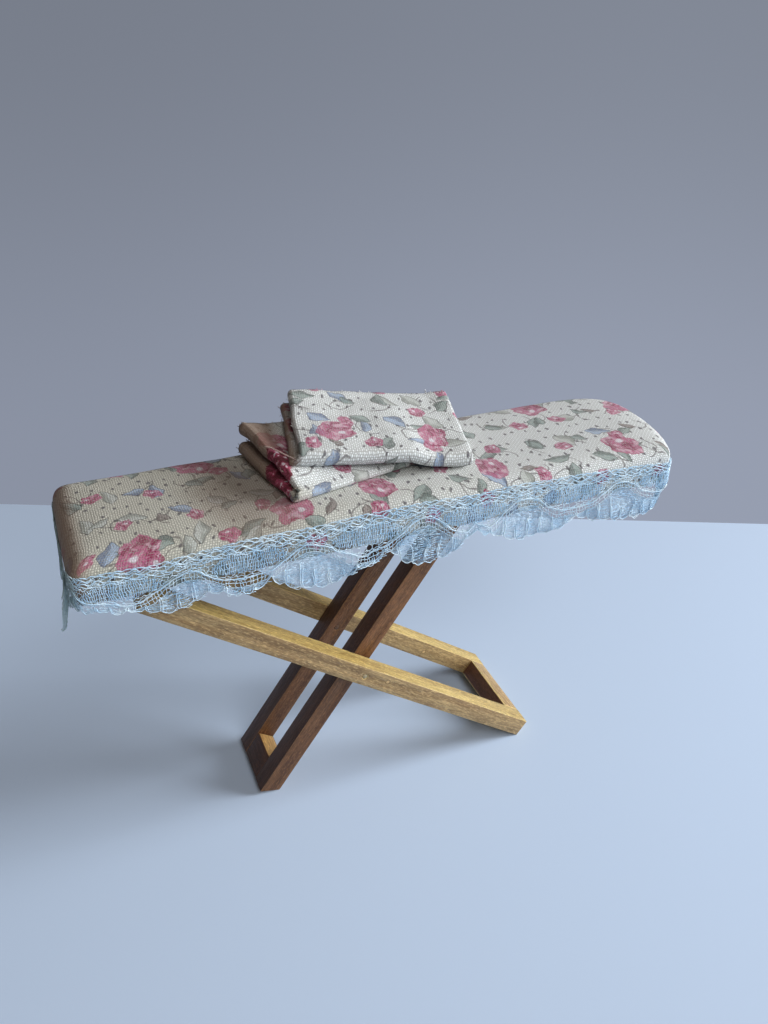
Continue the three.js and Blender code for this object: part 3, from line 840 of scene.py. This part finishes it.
def lay_cloth(name, node, body, cloth, base_at, stack_at, seed, origin, loose=None):
    grid, marks = fold_cloth(cloth, base_at, stack_at, seed, origin)
    laid = (grid.reshape(-1, 3), grid_quads(*grid.shape[:2]), marks.reshape(-1, 2))
    piece = quad_piece(name, body, "printed_cotton", *laid)
    thicken(piece, SHEET, 0)
    clean_mesh(piece)
    threads = [fray(name.replace("sheet", "fray"), grid, marks, body)]
    if loose is not None:
        laid = strands(smooth_line(loose)[None], 0.1)
        threads.append(quad_piece(name.replace("sheet", "thread"), body, "printed_cotton", *laid))
    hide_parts(node)
    return [piece] + threads


def lay_cloths():
    lower = lay_cloth(
        "lower_cloth_sheet", "folded_cloth_lower", "lower_cloth",
        LOWER, lower_base, lower_stack, 31, (30.0, 13.0), LOOSE_THREAD,
    )
    upper = lay_cloth(
        "upper_cloth_sheet", "folded_cloth_upper", "upper_cloth",
        UPPER, upper_base, upper_stack, 41, (8.0, 2.0),
    )
    return lower + upper


# A wooden strip or a pin: the solid, merged, with its edges eased by sanding
def sanded_strip(node, name, body, ease):
    piece = link_piece(name, frame["nodes"][node].data.copy(), body)
    piece.data.materials.clear()
    clean_mesh(piece, merge=0.001, ease=ease)
    bpy.ops.object.shade_smooth_by_angle(angle=math.radians(35))
    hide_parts(node)
    return piece


# Materials

def shaded(colour, shade):
    return [min(value * shade, 1.0) for value in colour]


# A colour as it looks on the screen, turned into the shader's own values
def seen(colour):
    return (*[v / 12.92 if v <= 0.04045 else ((v + 0.055) / 1.055) ** 2.4 for v in colour], 1.0)


# An output of a shader tree. Reckoning with it adds the nodes that do so.
class Wire:
    def __init__(self, socket):
        self.socket = socket
        self.tree = socket.id_data
        self.many = socket.type in ("VECTOR", "RGBA")

    def __add__(self, other):
        return reckon("ADD", self, other)

    def __sub__(self, other):
        return reckon("SUBTRACT", self, other)

    def __mul__(self, other):
        return reckon("MULTIPLY", self, other)

    def __truediv__(self, other):
        return reckon("DIVIDE", self, other)

    def __abs__(self):
        return reckon("ABSOLUTE", self)


# Links a wire to an input, or sets its constant. Colours are given as seen.
def feed(socket, value):
    if isinstance(value, Wire):
        value.tree.links.new(value.socket, socket)
    else:
        socket.default_value = seen(value) if socket.type == "RGBA" else value


# Adds a node, sets it up, feeds its inputs and gives one of its outputs
def add(tree, kind, fed, output=0, **settings):
    made = tree.nodes.new("ShaderNode" + kind)
    for name, setting in settings.items():
        setattr(made, name, setting)
    for key, value in fed.items():
        feed(made.inputs[key], value)
    return Wire(made.outputs[output])


# A step of maths. Values with three parts go part by part.
def reckon(operation, *values):
    wires = [value for value in values if isinstance(value, Wire)]
    kind = "Math"
    if any(wire.many for wire in wires):
        kind = "VectorMath"
        values = [(value,) * 3 if isinstance(value, float) else value for value in values]
    output = 1 if operation in ("LENGTH", "DISTANCE") else 0
    return add(wires[0].tree, kind, dict(enumerate(values)), output, operation=operation)


def blend(factor, first, second):
    return add(factor.tree, "Mix", {0: factor, 6: first, 7: second}, 2, data_type="RGBA")


def between(value, low, high, start=0.0, end=1.0):
    fed = dict(enumerate((value, low, high, start, end)))
    return add(value.tree, "MapRange", fed, interpolation_type="SMOOTHSTEP")


def noise(vector, scale, detail=2.0, roughness=0.5, dimensions="3D", output="Fac"):
    fed = {"Vector": vector, "Scale": scale, "Detail": detail, "Roughness": roughness}
    return add(vector.tree, "TexNoise", fed, output, noise_dimensions=dimensions)


def split(vector):
    made = add(vector.tree, "SeparateXYZ", {0: vector}).socket.node
    return [Wire(socket) for socket in made.outputs]


def combine(x, y, z):
    return add(x.tree, "CombineXYZ", {0: x, 1: y, 2: z})


def turned(vector, angle, axis="Z_AXIS"):
    return add(vector.tree, "VectorRotate", {"Vector": vector, "Angle": angle}, rotation_type=axis)


# How far the wavering of a thread carries it off its place
def drift(vector, size, detail, amount):
    return (noise(vector, size, detail, 0.5, "2D", "Color") - 0.5) * amount


def new_material(name):
    material = bpy.data.materials.new(name)
    material.use_nodes = True
    place = add(material.node_tree, "TexCoord", {}, "Object") * (1 / MM)
    return material, place


# Feeds a material's shader, with a bump of the given depth if it has a height
def finish(material, fed, height=None, depth=0.0):
    tree = material.node_tree
    shader = tree.nodes["Principled BSDF"].inputs
    for name, value in fed.items():
        feed(shader[name], value)
    if height is not None:
        bump = {"Strength": 1.0, "Distance": depth * MM, "Height": height}
        feed(shader["Normal"], add(tree, "Bump", bump))
    return material


# Each motif has a patch of cloth of its own. This gives the place from the
# motif's middle, turned by chance, and three numbers that differ by patch.
def motif_patch(cloth, width, height, stagger, roam, seed):
    x, y, _ = split(cloth)
    row = reckon("FLOOR", y / height)
    x = x + reckon("MODULO", row, 3.0) * (stagger * width)
    column = reckon("FLOOR", x / width)
    dice = add(cloth.tree, "TexWhiteNoise", {"Vector": combine(column, row, seed)}, "Color")
    first, second, third = split(dice)
    along = column * -width + (x - width / 2)
    across = row * -height + (y - height / 2)
    place = combine(along + (first - 0.5) * (2 * roam), across + (second - 0.5) * (2 * roam), 0.0)
    return SimpleNamespace(
        local=turned(place, third * TURN),
        width=width,
        first=first,
        second=second,
        kind=Wire(dice.socket.node.outputs["Value"]),
    )


GREEN = ((0.42, 0.47, 0.45), (0.60, 0.66, 0.64), (0.27, 0.29, 0.27))
BLUE = ((0.45, 0.51, 0.61), (0.65, 0.73, 0.83), (0.32, 0.34, 0.41))
OPEN = ((0.61, 0.63, 0.60), (0.77, 0.79, 0.77), (0.34, 0.35, 0.33))
BROWN = ((0.44, 0.40, 0.38), (0.58, 0.54, 0.52), (0.31, 0.28, 0.28))
ROSE = ((0.73, 0.40, 0.53), (0.88, 0.74, 0.80), (0.57, 0.17, 0.33))
KINDS = (GREEN, BLUE, OPEN, BROWN, GREEN)
KIND_SHARES = (0.0, 0.36, 0.58, 0.79, 0.9)


# The colour of a leaf's kind, by a number from 0 to 1
def kind_colour(number, colours):
    ramp = number.tree.nodes.new("ShaderNodeValToRGB")
    ramp.color_ramp.interpolation = "CONSTANT"
    elements = ramp.color_ramp.elements
    while len(elements) < len(colours):
        elements.new(0.5)
    for element, colour, share in zip(elements, colours, KIND_SHARES):
        element.position = share
        element.color = seen(colour)
    feed(ramp.inputs[0], number)
    return Wire(ramp.outputs[0])


# Motifs: each gives how far it covers the cloth, and its colour

# A pointed leaf, with a drawn outline and one side shaded
def leaf(patch, size):
    x, y, _ = split(patch.local)
    small = between(patch.kind, 0.78, 0.8) - between(patch.kind, 0.89, 0.91)
    length = small * (-0.8 * size) + (patch.first * (0.7 * size) + 1.6 * size)
    breadth = small * (-0.4 * size) + (patch.second * (0.4 * size) + 0.8 * size)
    share = x / length
    square = share * share
    y = y - (patch.second - 0.5) * 1.7 * square
    swell = reckon("SUBTRACT", 1.0, square) * (share * 0.4 + 1.0)
    edge = breadth * swell - abs(y)
    streak = noise(patch.local * (0.6, 1.9, 1.0), 1.0)
    lit = between(streak * 1.6 + y, 0.5, 1.0)
    fill, pale, line = [kind_colour(patch.kind, tones) for tones in zip(*KINDS)]
    fill = blend(lit, fill, pale)
    return between(edge, -0.06, 0.1), blend(between(edge, 0.1, 0.3, 0.85, 0.0), fill, line)


# A rose or a bud: a wavy round with dark strokes, pale petals, a bright spot
def rose(patch, size):
    x, y, _ = split(patch.local)
    y = y * (patch.first * 0.35 + 1.0)
    flat = combine(x, y, 0.0)
    own = combine(x, y, patch.kind * 40.0)
    radius = reckon("LENGTH", flat)
    angle = reckon("ARCTAN2", y, x)
    lobes = reckon("SINE", angle * 5.0 + patch.second * TURN)
    cloudy = noise(own, 1.6 / size, 3.0, 0.6)
    edge = cloudy * (0.45 * size) + (lobes * (0.07 * size) + 0.72 * size) - radius
    strokes = reckon("SINE", cloudy * 14.0 + (radius * (4.2 / size) + angle))
    fill = blend(between(strokes, 0.1, 0.9), ROSE[0], ROSE[2])
    petals = noise(own, 2.6 / size)
    fill = blend(between(petals, 0.52, 0.66, 0.0, 0.75), fill, ROSE[1])
    spot = reckon("DISTANCE", flat, (-0.3 * size, 0.25 * size, 0.0))
    bright = between(spot, 0.12 * size, 0.24 * size, 0.9, 0.0)
    fill = blend(bright, fill, (0.90, 0.89, 0.92))
    return between(edge, -0.05, 0.15), blend(between(edge, 0.05, 0.3, 0.35, 0.0), fill, ROSE[2])


# A thin curling stem, an arc of the given bow
def stem(patch, bow):
    x, y, _ = split(patch.local)
    shifted = x + bow
    radius = reckon("LENGTH", combine(shifted, y, 0.0))
    angle = abs(reckon("ARCTAN2", y, shifted))
    covered = between(abs(radius - bow), 0.07, 0.18, 0.75, 0.0)
    most = min(1.5, (patch.width / 2 - 1.2) / bow)
    return covered * between(angle, most, most + 0.1, 1.0, 0.0), BROWN[2]


# The printed calico: stems, leaves, buds and roses among small dots. Each
# motif has its size, and its patch's width, height, stagger, roam and seed.
def calico(cloth, ground, ink):
    flat = (cloth + drift(cloth, 0.45, 1.0, 1.1)) * (1.0, 1.0, 0.0)
    dots = {"Vector": flat * (1.0, 0.7, 0.0), "Scale": 1 / 2.4, "Randomness": 0.55}
    away = add(cloth.tree, "TexVoronoi", dots, "Distance", voronoi_dimensions="2D")
    colour = blend(between(away, 0.09, 0.15, 0.95, 0.0) * ink, ground, (0.33, 0.32, 0.34))
    for motif, size, *patch in (
        (stem, 3.4, 9.5, 8.7, 0.3, 0.8, 1.0),
        (stem, 2.1, 7.9, 8.9, 0.3, 0.8, 2.0),
        (leaf, 1.3, 7.3, 7.7, 0.37, 0.9, 4.0),
        (leaf, 1.1, 9.7, 9.0, 0.37, 0.9, 5.0),
        (rose, 1.8, 11.3, 10.1, 0.42, 2.4, 6.0),
        (rose, 3.7, 22.0, 19.0, 0.42, 4.0, 3.0),
    ):
        covered, fill = motif(motif_patch(flat, *patch), size)
        colour = blend(covered * ink, colour, fill)
    return colour


# Plain weave: the height of the threads over and under each other
THREAD_PITCH = 0.4


def weave(cloth):
    x, y, _ = split(cloth + drift(cloth, 0.9, 2.0, 0.35))
    across = reckon("SINE", x * (math.pi / THREAD_PITCH))
    along = reckon("SINE", y * (math.pi / THREAD_PITCH))
    return across * along * 0.25 + abs(across) * abs(along) * 0.75


# The cotton's ground, clean and yellowed. The yellowed ground is also darker: a painted falloff of light
# towards the tail.
CLEAN = (0.94, 0.96, 0.96)
YELLOWED_DIM = (0.84, 0.835, 0.78)
CLOTH_SHEEN = {
    "Roughness": 0.9,
    "Specular IOR Level": 0.2,
    "Sheen Weight": 0.12,
    "Sheen Roughness": 0.6,
}


# The first range is how far along the board the cotton goes from clean to
# yellowed and darker: a yellowed tone, and a painted falloff of light. The second is how far
# in from an end it is painted brown: painted shade on the ends away from the lamp. The end is a
# corner of the cloth and the turn of its left edge. "over" is laid on last.
def printed_cotton(name, yellowed_and_dimmed, end, end_shade, over=None):
    material, place = new_material(name)
    cloth = add(place.tree, "UVMap", {}, uv_map="cloth")
    height = weave(cloth)
    uneven = noise(cloth, 2.4, 2.0, 0.6, "2D")
    ink = between(uneven * 1.1 + height, 0.4, 0.9, 0.3, 0.96)
    # Towards the tail the ground turns yellowed and darker: a yellowed tone, and a painted falloff of the
    # lamp's light
    tone = noise(cloth, 0.11, 2.0, 0.5, "2D") * 24.0 + (split(place)[0] - 12.0)
    base = blend(between(tone, *yellowed_and_dimmed, 1.0, 0.0), CLEAN, YELLOWED_DIM)
    # Painted shade: the ground is darker in the hollows between the threads
    base = blend(between(height, 0.0, 0.7, 0.52, 0.0), base, shaded(YELLOWED_DIM, 0.6))
    colour = calico(cloth, base, ink)
    # More painted shade, darker and browner where the weave is low
    deep = between(uneven * 0.7 + height, 0.3, 0.75, 0.16, 0.0)
    colour = blend(deep, colour, (0.38, 0.36, 0.33))
    # Painted shade: brown towards the given end, which faces away from the lamp
    (x, y), turn = end
    inward = uneven * 1.2 + split(turned(place - (x, y, 0.0), -turn))[0]
    colour = blend(between(inward, *end_shade, 0.8, 0.0), colour, (0.53, 0.42, 0.34))
    if over is not None:
        colour = over(colour, place)
    fed = {"Base Color": colour, **CLOTH_SHEEN}
    return finish(material, fed, height, 0.06)


# The rose that is cut through at the lower cloth's left end
def cut_rose(colour, place):
    across, along, _ = split(turned(place - (-20.4, -3.2, 70.0), LOWER.yaw))
    spots = noise(place, 0.9, 3.0, 0.6)
    off = reckon("LENGTH", combine(across / 2.3, along / 6.4, 0.0)) + spots
    made = blend(between(spots, 0.42, 0.58), (0.42, 0.07, 0.17), (0.70, 0.26, 0.40))
    made = blend(between(spots, 0.6, 0.64, 0.0, 0.95), made, (0.93, 0.90, 0.93))
    return blend(between(off, 1.4, 1.5, 0.95, 0.0), colour, made)


# Painted shadow: the cover is painted brown beside the cloths, where their shadow falls
def painted_shadow_beside(colour, place):
    across, along, _ = split(turned(place - (-27.0, -3.0, 0.0), -LOWER.yaw))
    off = reckon("LENGTH", combine(across / 8.0, along / 12.0, 0.0))
    return blend(between(off, 0.5, 1.5, 0.5, 0.0), colour, (0.46, 0.36, 0.28))


# Lace threads. At the tail's end the lace is painted grey-green: painted shade, as the tail faces away from
# the lamp
def lace_thread(name, light, deep):
    material, place = new_material(name)
    twist = noise(place, 4.5, 1.0)
    colour = blend(between(noise(place, 0.35), 0.35, 0.65), deep, light)
    colour = blend(between(twist, 0.4, 0.7, 0.0, 0.35), colour, (0.95, 0.98, 1.0))
    # Painted shade on the lace at the tail's end
    tail_shade = between(split(place)[0], -57.0, -55.0, 0.9, 0.0)
    colour = blend(tail_shade, colour, (0.60, 0.69, 0.69))
    fed = {"Base Color": colour, "Roughness": 0.65, "Specular IOR Level": 0.3, "Sheen Weight": 0.1}
    return finish(material, fed, twist, 0.04)


# Stained wood. The grain runs along the strip: "lie" is the turn about Y that
# brings the strip level, and a cross strip's grain runs across the object.
def stained_wood(name, lie, cross, seed, light, middle, dark, fleck=0.3, flaw=None):
    material, at = new_material(name)
    place = turned(at, lie, "Y_AXIS")
    if cross:
        x, y, z = split(place)
        place = combine(y, x, z)
    place = place + (seed * 31.7, seed * 7.3, seed * 3.9)
    fibres = noise(place * (0.16, 3.2, 3.2), 1.0, 4.0, 0.6)
    bands = noise(place * (0.04, 0.6, 0.6), 1.0, 3.0, 0.55)
    flecks = noise(place * (1.1, 3.6, 3.6), 1.0, 2.0, 0.6)
    pores = between(noise(place * (0.7, 7.0, 7.0), 1.0), 0.62, 0.72)
    patches = noise(place * (0.22, 0.5, 0.5), 1.0)
    bright = shaded(light, 1.18)
    colour = blend(between(bands, 0.36, 0.62), middle, light)
    colour = blend(between(fibres, 0.38, 0.6, 0.45, 0.0), colour, dark)
    colour = blend(between(patches, 0.5, 0.72, 0.0, 0.3), colour, dark)
    colour = blend(between(flecks, 0.34, 0.48, 0.9 * fleck, 0.0), colour, dark)
    colour = blend(between(flecks, 0.53, 0.66, 0.0, 1.5 * fleck), colour, bright)
    colour = blend(pores * 0.45, colour, shaded(dark, 0.6))
    if flaw is not None:
        off = reckon("DISTANCE", at, flaw)
        colour = blend(between(off, 0.45, 0.62, 0.7, 0.0), colour, dark)
        colour = blend(between(off, 0.3, 0.42, 0.9, 0.0), colour, bright)
    rough = between(fibres, 0.35, 0.65, 0.52, 0.4)
    fed = {"Base Color": colour, "Roughness": rough, "Specular IOR Level": 0.4}
    return finish(material, fed, flecks * 0.8 - pores, 0.06)


# How straight a face has to look one way to count as a side
STRAIGHT = 0.97


# Gives the rubbed edges of a strip, paler with wear and a painted highlight, and the
# faces that look one way, finishes of painted light and shade. "way" is a direction on the strip brought
# level.
def paint_faces(strip, lie, rubbed_highlit, painted_shading, way):
    level = Matrix.Rotation(lie, 3, "Y")
    strip.data.materials.append(rubbed_highlit)
    strip.data.materials.append(painted_shading)
    for face in strip.data.polygons:
        normal = level @ face.normal
        if max(abs(value) for value in normal) < STRAIGHT:
            face.material_index = 1
        elif normal.dot(Vector(way)) > STRAIGHT:
            face.material_index = 2


def plain_finish(name, colour, roughness, metallic=0.0, grain=0.8, depth=0.05):
    material, place = new_material(name)
    speck = noise(place, grain, 3.0)
    tint = blend(between(speck, 0.35, 0.65), shaded(colour, 0.85), colour)
    fed = {"Base Color": tint, "Roughness": roughness, "Metallic": metallic}
    return finish(material, fed, speck, depth)


def give(material, *pieces):
    for piece in pieces:
        piece.data.materials.clear()
        piece.data.materials.append(material)


cover = stretch_cover()
pad = fill_padding()
lace = trim_with_lace()
cloths = lay_cloths()

tail = ((-HALF_LENGTH, 0.0), 0.0)
lower_end = (LOWER.corner, LOWER.yaw - 0.35)
upper_end = (UPPER.corner, UPPER.yaw + UPPER.skew)
give(printed_cotton("cover cotton", (-45.0, 30.0), tail, (1.4, 5.0), painted_shadow_beside), cover)
give(printed_cotton("lower cotton", (-24.0, -16.0), lower_end, (-2.5, 1.0), cut_rose), cloths[0])
upper_cotton = printed_cotton("upper cotton", (-24.0, -16.0), upper_end, (-0.9, 0.9))
give(upper_cotton, cloths[1], *cloths[3:])
give(plain_finish("loose thread", (0.88, 0.78, 0.74), 0.8), cloths[2])
give(plain_finish("white wadding", (0.93, 0.91, 0.87), 0.95, 0.0, 1.5, 0.2), pad)
give(lace_thread("pale lace thread", (0.88, 0.96, 1.0), (0.72, 0.86, 0.95)), *lace[1:])
give(lace_thread("blue lace thread", (0.80, 0.92, 1.0), (0.62, 0.79, 0.91)), lace[0])
gauze_thread = lace_thread("gauze thread", (0.84, 0.92, 1.0), (0.76, 0.86, 0.98))
lace[0].data.materials.append(gauze_thread)

# The woods: light, middle and dark
# The light golden wood is the outer legs' top faces painted lighter as if lit. The umber is the outer foot
# bar's tail face painted as shade. The bare wood is the inner foot bar's nose face, bare and also painted as
# lit. The rubbed woods are paler edges, partly a painted highlight.
LIT_GOLDEN = ((0.82, 0.72, 0.45), (0.73, 0.62, 0.36), (0.50, 0.39, 0.21))
TAN = ((0.74, 0.63, 0.44), (0.65, 0.53, 0.36), (0.44, 0.33, 0.20))
RUBBED_HIGHLIT_GOLDEN = ((0.95, 0.86, 0.62), (0.90, 0.78, 0.50), (0.70, 0.55, 0.32))
DARK = ((0.53, 0.37, 0.23), (0.44, 0.29, 0.17), (0.24, 0.145, 0.085))
RUBBED_HIGHLIT_DARK = ((0.62, 0.46, 0.32), (0.54, 0.39, 0.26), (0.34, 0.23, 0.15))
DEEP = ((0.36, 0.23, 0.15), (0.30, 0.18, 0.11), (0.18, 0.11, 0.07))
LIT_BARE = ((0.78, 0.63, 0.39), (0.72, 0.56, 0.34), (0.56, 0.41, 0.23))
SHADED_UMBER = ((0.47, 0.32, 0.24), (0.41, 0.27, 0.20), (0.27, 0.18, 0.13))
RAW = ((0.78, 0.66, 0.47), (0.72, 0.59, 0.40), (0.55, 0.42, 0.27))

# The strips of the legs: their frame, its woods (whole, rubbed edges with a painted
# highlight, face with painted light and shade), the way that this face looks, and the place of a flaw
UP_FACE = (0.0, 0.0, 1.0)
NOSE_FACE = (1.0, 0.0, 0.0)
TAIL_FACE = (-1.0, 0.0, 0.0)
OUTER = ("outer_frame", "golden_wood", -OUTER_ANGLE)
INNER = ("inner_frame", "dark_wood", INNER_ANGLE)
LIGHT_WOODS = (TAN, RUBBED_HIGHLIT_GOLDEN, LIT_GOLDEN)
DARK_WOODS = (DARK, RUBBED_HIGHLIT_DARK, DEEP)
# Painted light and shade on the chosen faces: the outer legs' tops lighter as if lit, the inner strips' up
# faces and the outer foot bar's tail face dark as shade, the inner foot bar's nose face bare and lit
for number, (node, (body, slot, lie), (tones, rubbed_highlit, painted_shading), way, flaw) in enumerate((
    ("outer_leg_front", OUTER, LIGHT_WOODS, UP_FACE, (-3.65, -12.1, 25.0)),
    ("outer_leg_back", OUTER, LIGHT_WOODS, UP_FACE, (13.5, 8.1, 11.6)),
    ("outer_foot_bar", OUTER, (TAN, RUBBED_HIGHLIT_GOLDEN, SHADED_UMBER), TAIL_FACE, None),
    ("inner_leg_front", INNER, DARK_WOODS, UP_FACE, None),
    ("inner_leg_back", INNER, DARK_WOODS, UP_FACE, None),
    ("inner_top_bar", INNER, DARK_WOODS, UP_FACE, None),
    ("inner_foot_bar", INNER, (DEEP, DEEP, LIT_BARE), NOSE_FACE, None),
)):
    cross = node.endswith("bar")
    strip = sanded_strip(node, node + "_strip", body, 0.22)
    give(stained_wood(node + " stain", lie, cross, number + 1, *tones, fleck=0.36, flaw=flaw), strip)
    edges = stained_wood(node + " rubbed edge", lie, cross, number + 21, *rubbed_highlit)
    shading_face_wood = stained_wood(node + " picked face", lie, cross, number + 31, *painted_shading)
    paint_faces(strip, lie, edges, shading_face_wood, way)

give(stained_wood("raw wood", 0.0, False, 11, *RAW), frame["nodes"]["board_core"])
cross_wood = stained_wood("raw cross wood", 0.0, True, 12, *RAW)
for node in ("hinge_block", "stop_cleat"):
    give(cross_wood, sanded_strip(node, node + "_wood", "board", 0.15))
steel = plain_finish("cut steel", (0.72, 0.66, 0.52), 0.5, 0.2, 2.5, 0.03)
stained_steel = plain_finish("stained steel", (0.44, 0.32, 0.23), 0.6, 0.0, 2.5, 0.03)
for node, body, metal in (
    ("hinge_pin_front", "board", steel),
    ("hinge_pin_back", "board", steel),
    ("pivot_pin_front", "outer_frame", steel),
    ("pivot_pin_back", "outer_frame", stained_steel),
):
    pin = sanded_strip(node, node + "_steel", body, 0.1)
    give(metal, pin)

# The last pin, at the back of the crossing, ends flush with the inner leg
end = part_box("pivot_pin_back")[0].y
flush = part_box("inner_leg_back")[0].y
for point in pin.data.vertices:
    if point.co.y < end + 0.3 * MM:
        point.co.y += flush - end

# The paper's turn, the place under the camera, and how far from there the
# backdrop is at its palest
PAPER_TURN = math.radians(24.3)
UNDER_CAMERA = (-56.0, -135.0, 0.0)
NEAR = 150.0


def lay_plane(name, colour, **shape):
    bpy.ops.mesh.primitive_plane_add(**shape)
    plane = bpy.context.active_object
    plane.name = name
    material, place = new_material(name.replace("_", " "))
    finish(material, {"Base Color": colour, "Roughness": 0.9, "Specular IOR Level": 0.1})
    give(material, plane)
    return plane, place


# Shows the camera, glossy and see-through rays a plain colour of its own
def show_plain(tree, lit, plain, leave):
    rays = tree.nodes.new("ShaderNodeLightPath").outputs
    camera, glossy, through = [Wire(rays[f"Is {kind} Ray"]) for kind in ("Camera", "Glossy", "Transmission")]
    shown = reckon("MAXIMUM", reckon("MAXIMUM", camera, glossy), through)
    mixed = add(tree, "MixShader", {0: shown, 1: Wire(tree.nodes[lit].outputs[0]), 2: plain})
    feed(tree.nodes[leave].inputs["Surface"], mixed)


# The floor: a pale sheet on a wide backdrop, which glows for the camera with a painted falloff of light
def lay_floor():
    paper = {"size": 1.0, "location": (0.0415, -0.259, 0.0), "rotation": (0, 0, -PAPER_TURN)}
    sheet, _ = lay_plane("pale_sheet", (0.79, 0.865, 0.96), **paper)
    sheet.scale = (1.2, 0.62, 1.0)
    backdrop, place = lay_plane("backdrop", (0.55, 0.58, 0.64), size=40.0, location=(0.0, 0.0, -0.0004))
    # Painted light: the backdrop's glow is palest near the camera, darker far away and to one side
    away = place - UNDER_CAMERA
    reach = reckon("LENGTH", away)
    near = between(reckon("DIVIDE", NEAR, reach), 0.0, 0.5)
    tone = blend(near, (0.51, 0.535, 0.588), (0.59, 0.62, 0.69))
    aside = between(split(turned(away, PAPER_TURN))[0] / reach, -0.4, 0.3, 0.16, 0.0)
    tone = blend(aside, tone, (0.0, 0.0, 0.02))
    tree = place.tree
    show_plain(tree, "Principled BSDF", add(tree, "Emission", {"Color": tone}), "Material Output")


def hang_lamp(name, place, aim, size, watts, colour):
    data = bpy.data.lights.new(name, "AREA")
    data.shape = "DISK"
    data.size = size
    data.energy = watts
    data.color = colour
    data.spread = QUARTER
    lamp = add_object(name, data)
    lamp.location = place
    way = Vector(aim) - Vector(place)
    lamp.rotation_euler = way.to_track_quat("-Z", "Y").to_euler()


# A faint warm light from all sides, and a pale wall behind the backdrop
def light_room():
    world = bpy.data.worlds.new("room light")
    world.use_nodes = True
    tree = world.node_tree
    glow = tree.nodes["Background"].inputs
    glow["Color"].default_value = (1.0, 0.78, 0.66, 1.0)
    glow["Strength"].default_value = 0.08
    wall = add(tree, "Background", {"Color": (0.53, 0.555, 0.61)})
    show_plain(tree, "Background", wall, "World Output")
    bpy.context.scene.world = world


lay_floor()
hang_lamp("window", (0.72, -0.18, 0.34), (0.0, -0.03, 0.04), 0.42, 2.25, (0.95, 0.97, 1.0))
hang_lamp("front fill", (0.10, -0.66, 0.62), (0.0, 0.0, 0.03), 0.6, 0.8, (0.98, 0.97, 0.97))
light_room()
bpy.context.scene.view_settings.view_transform = "Standard"
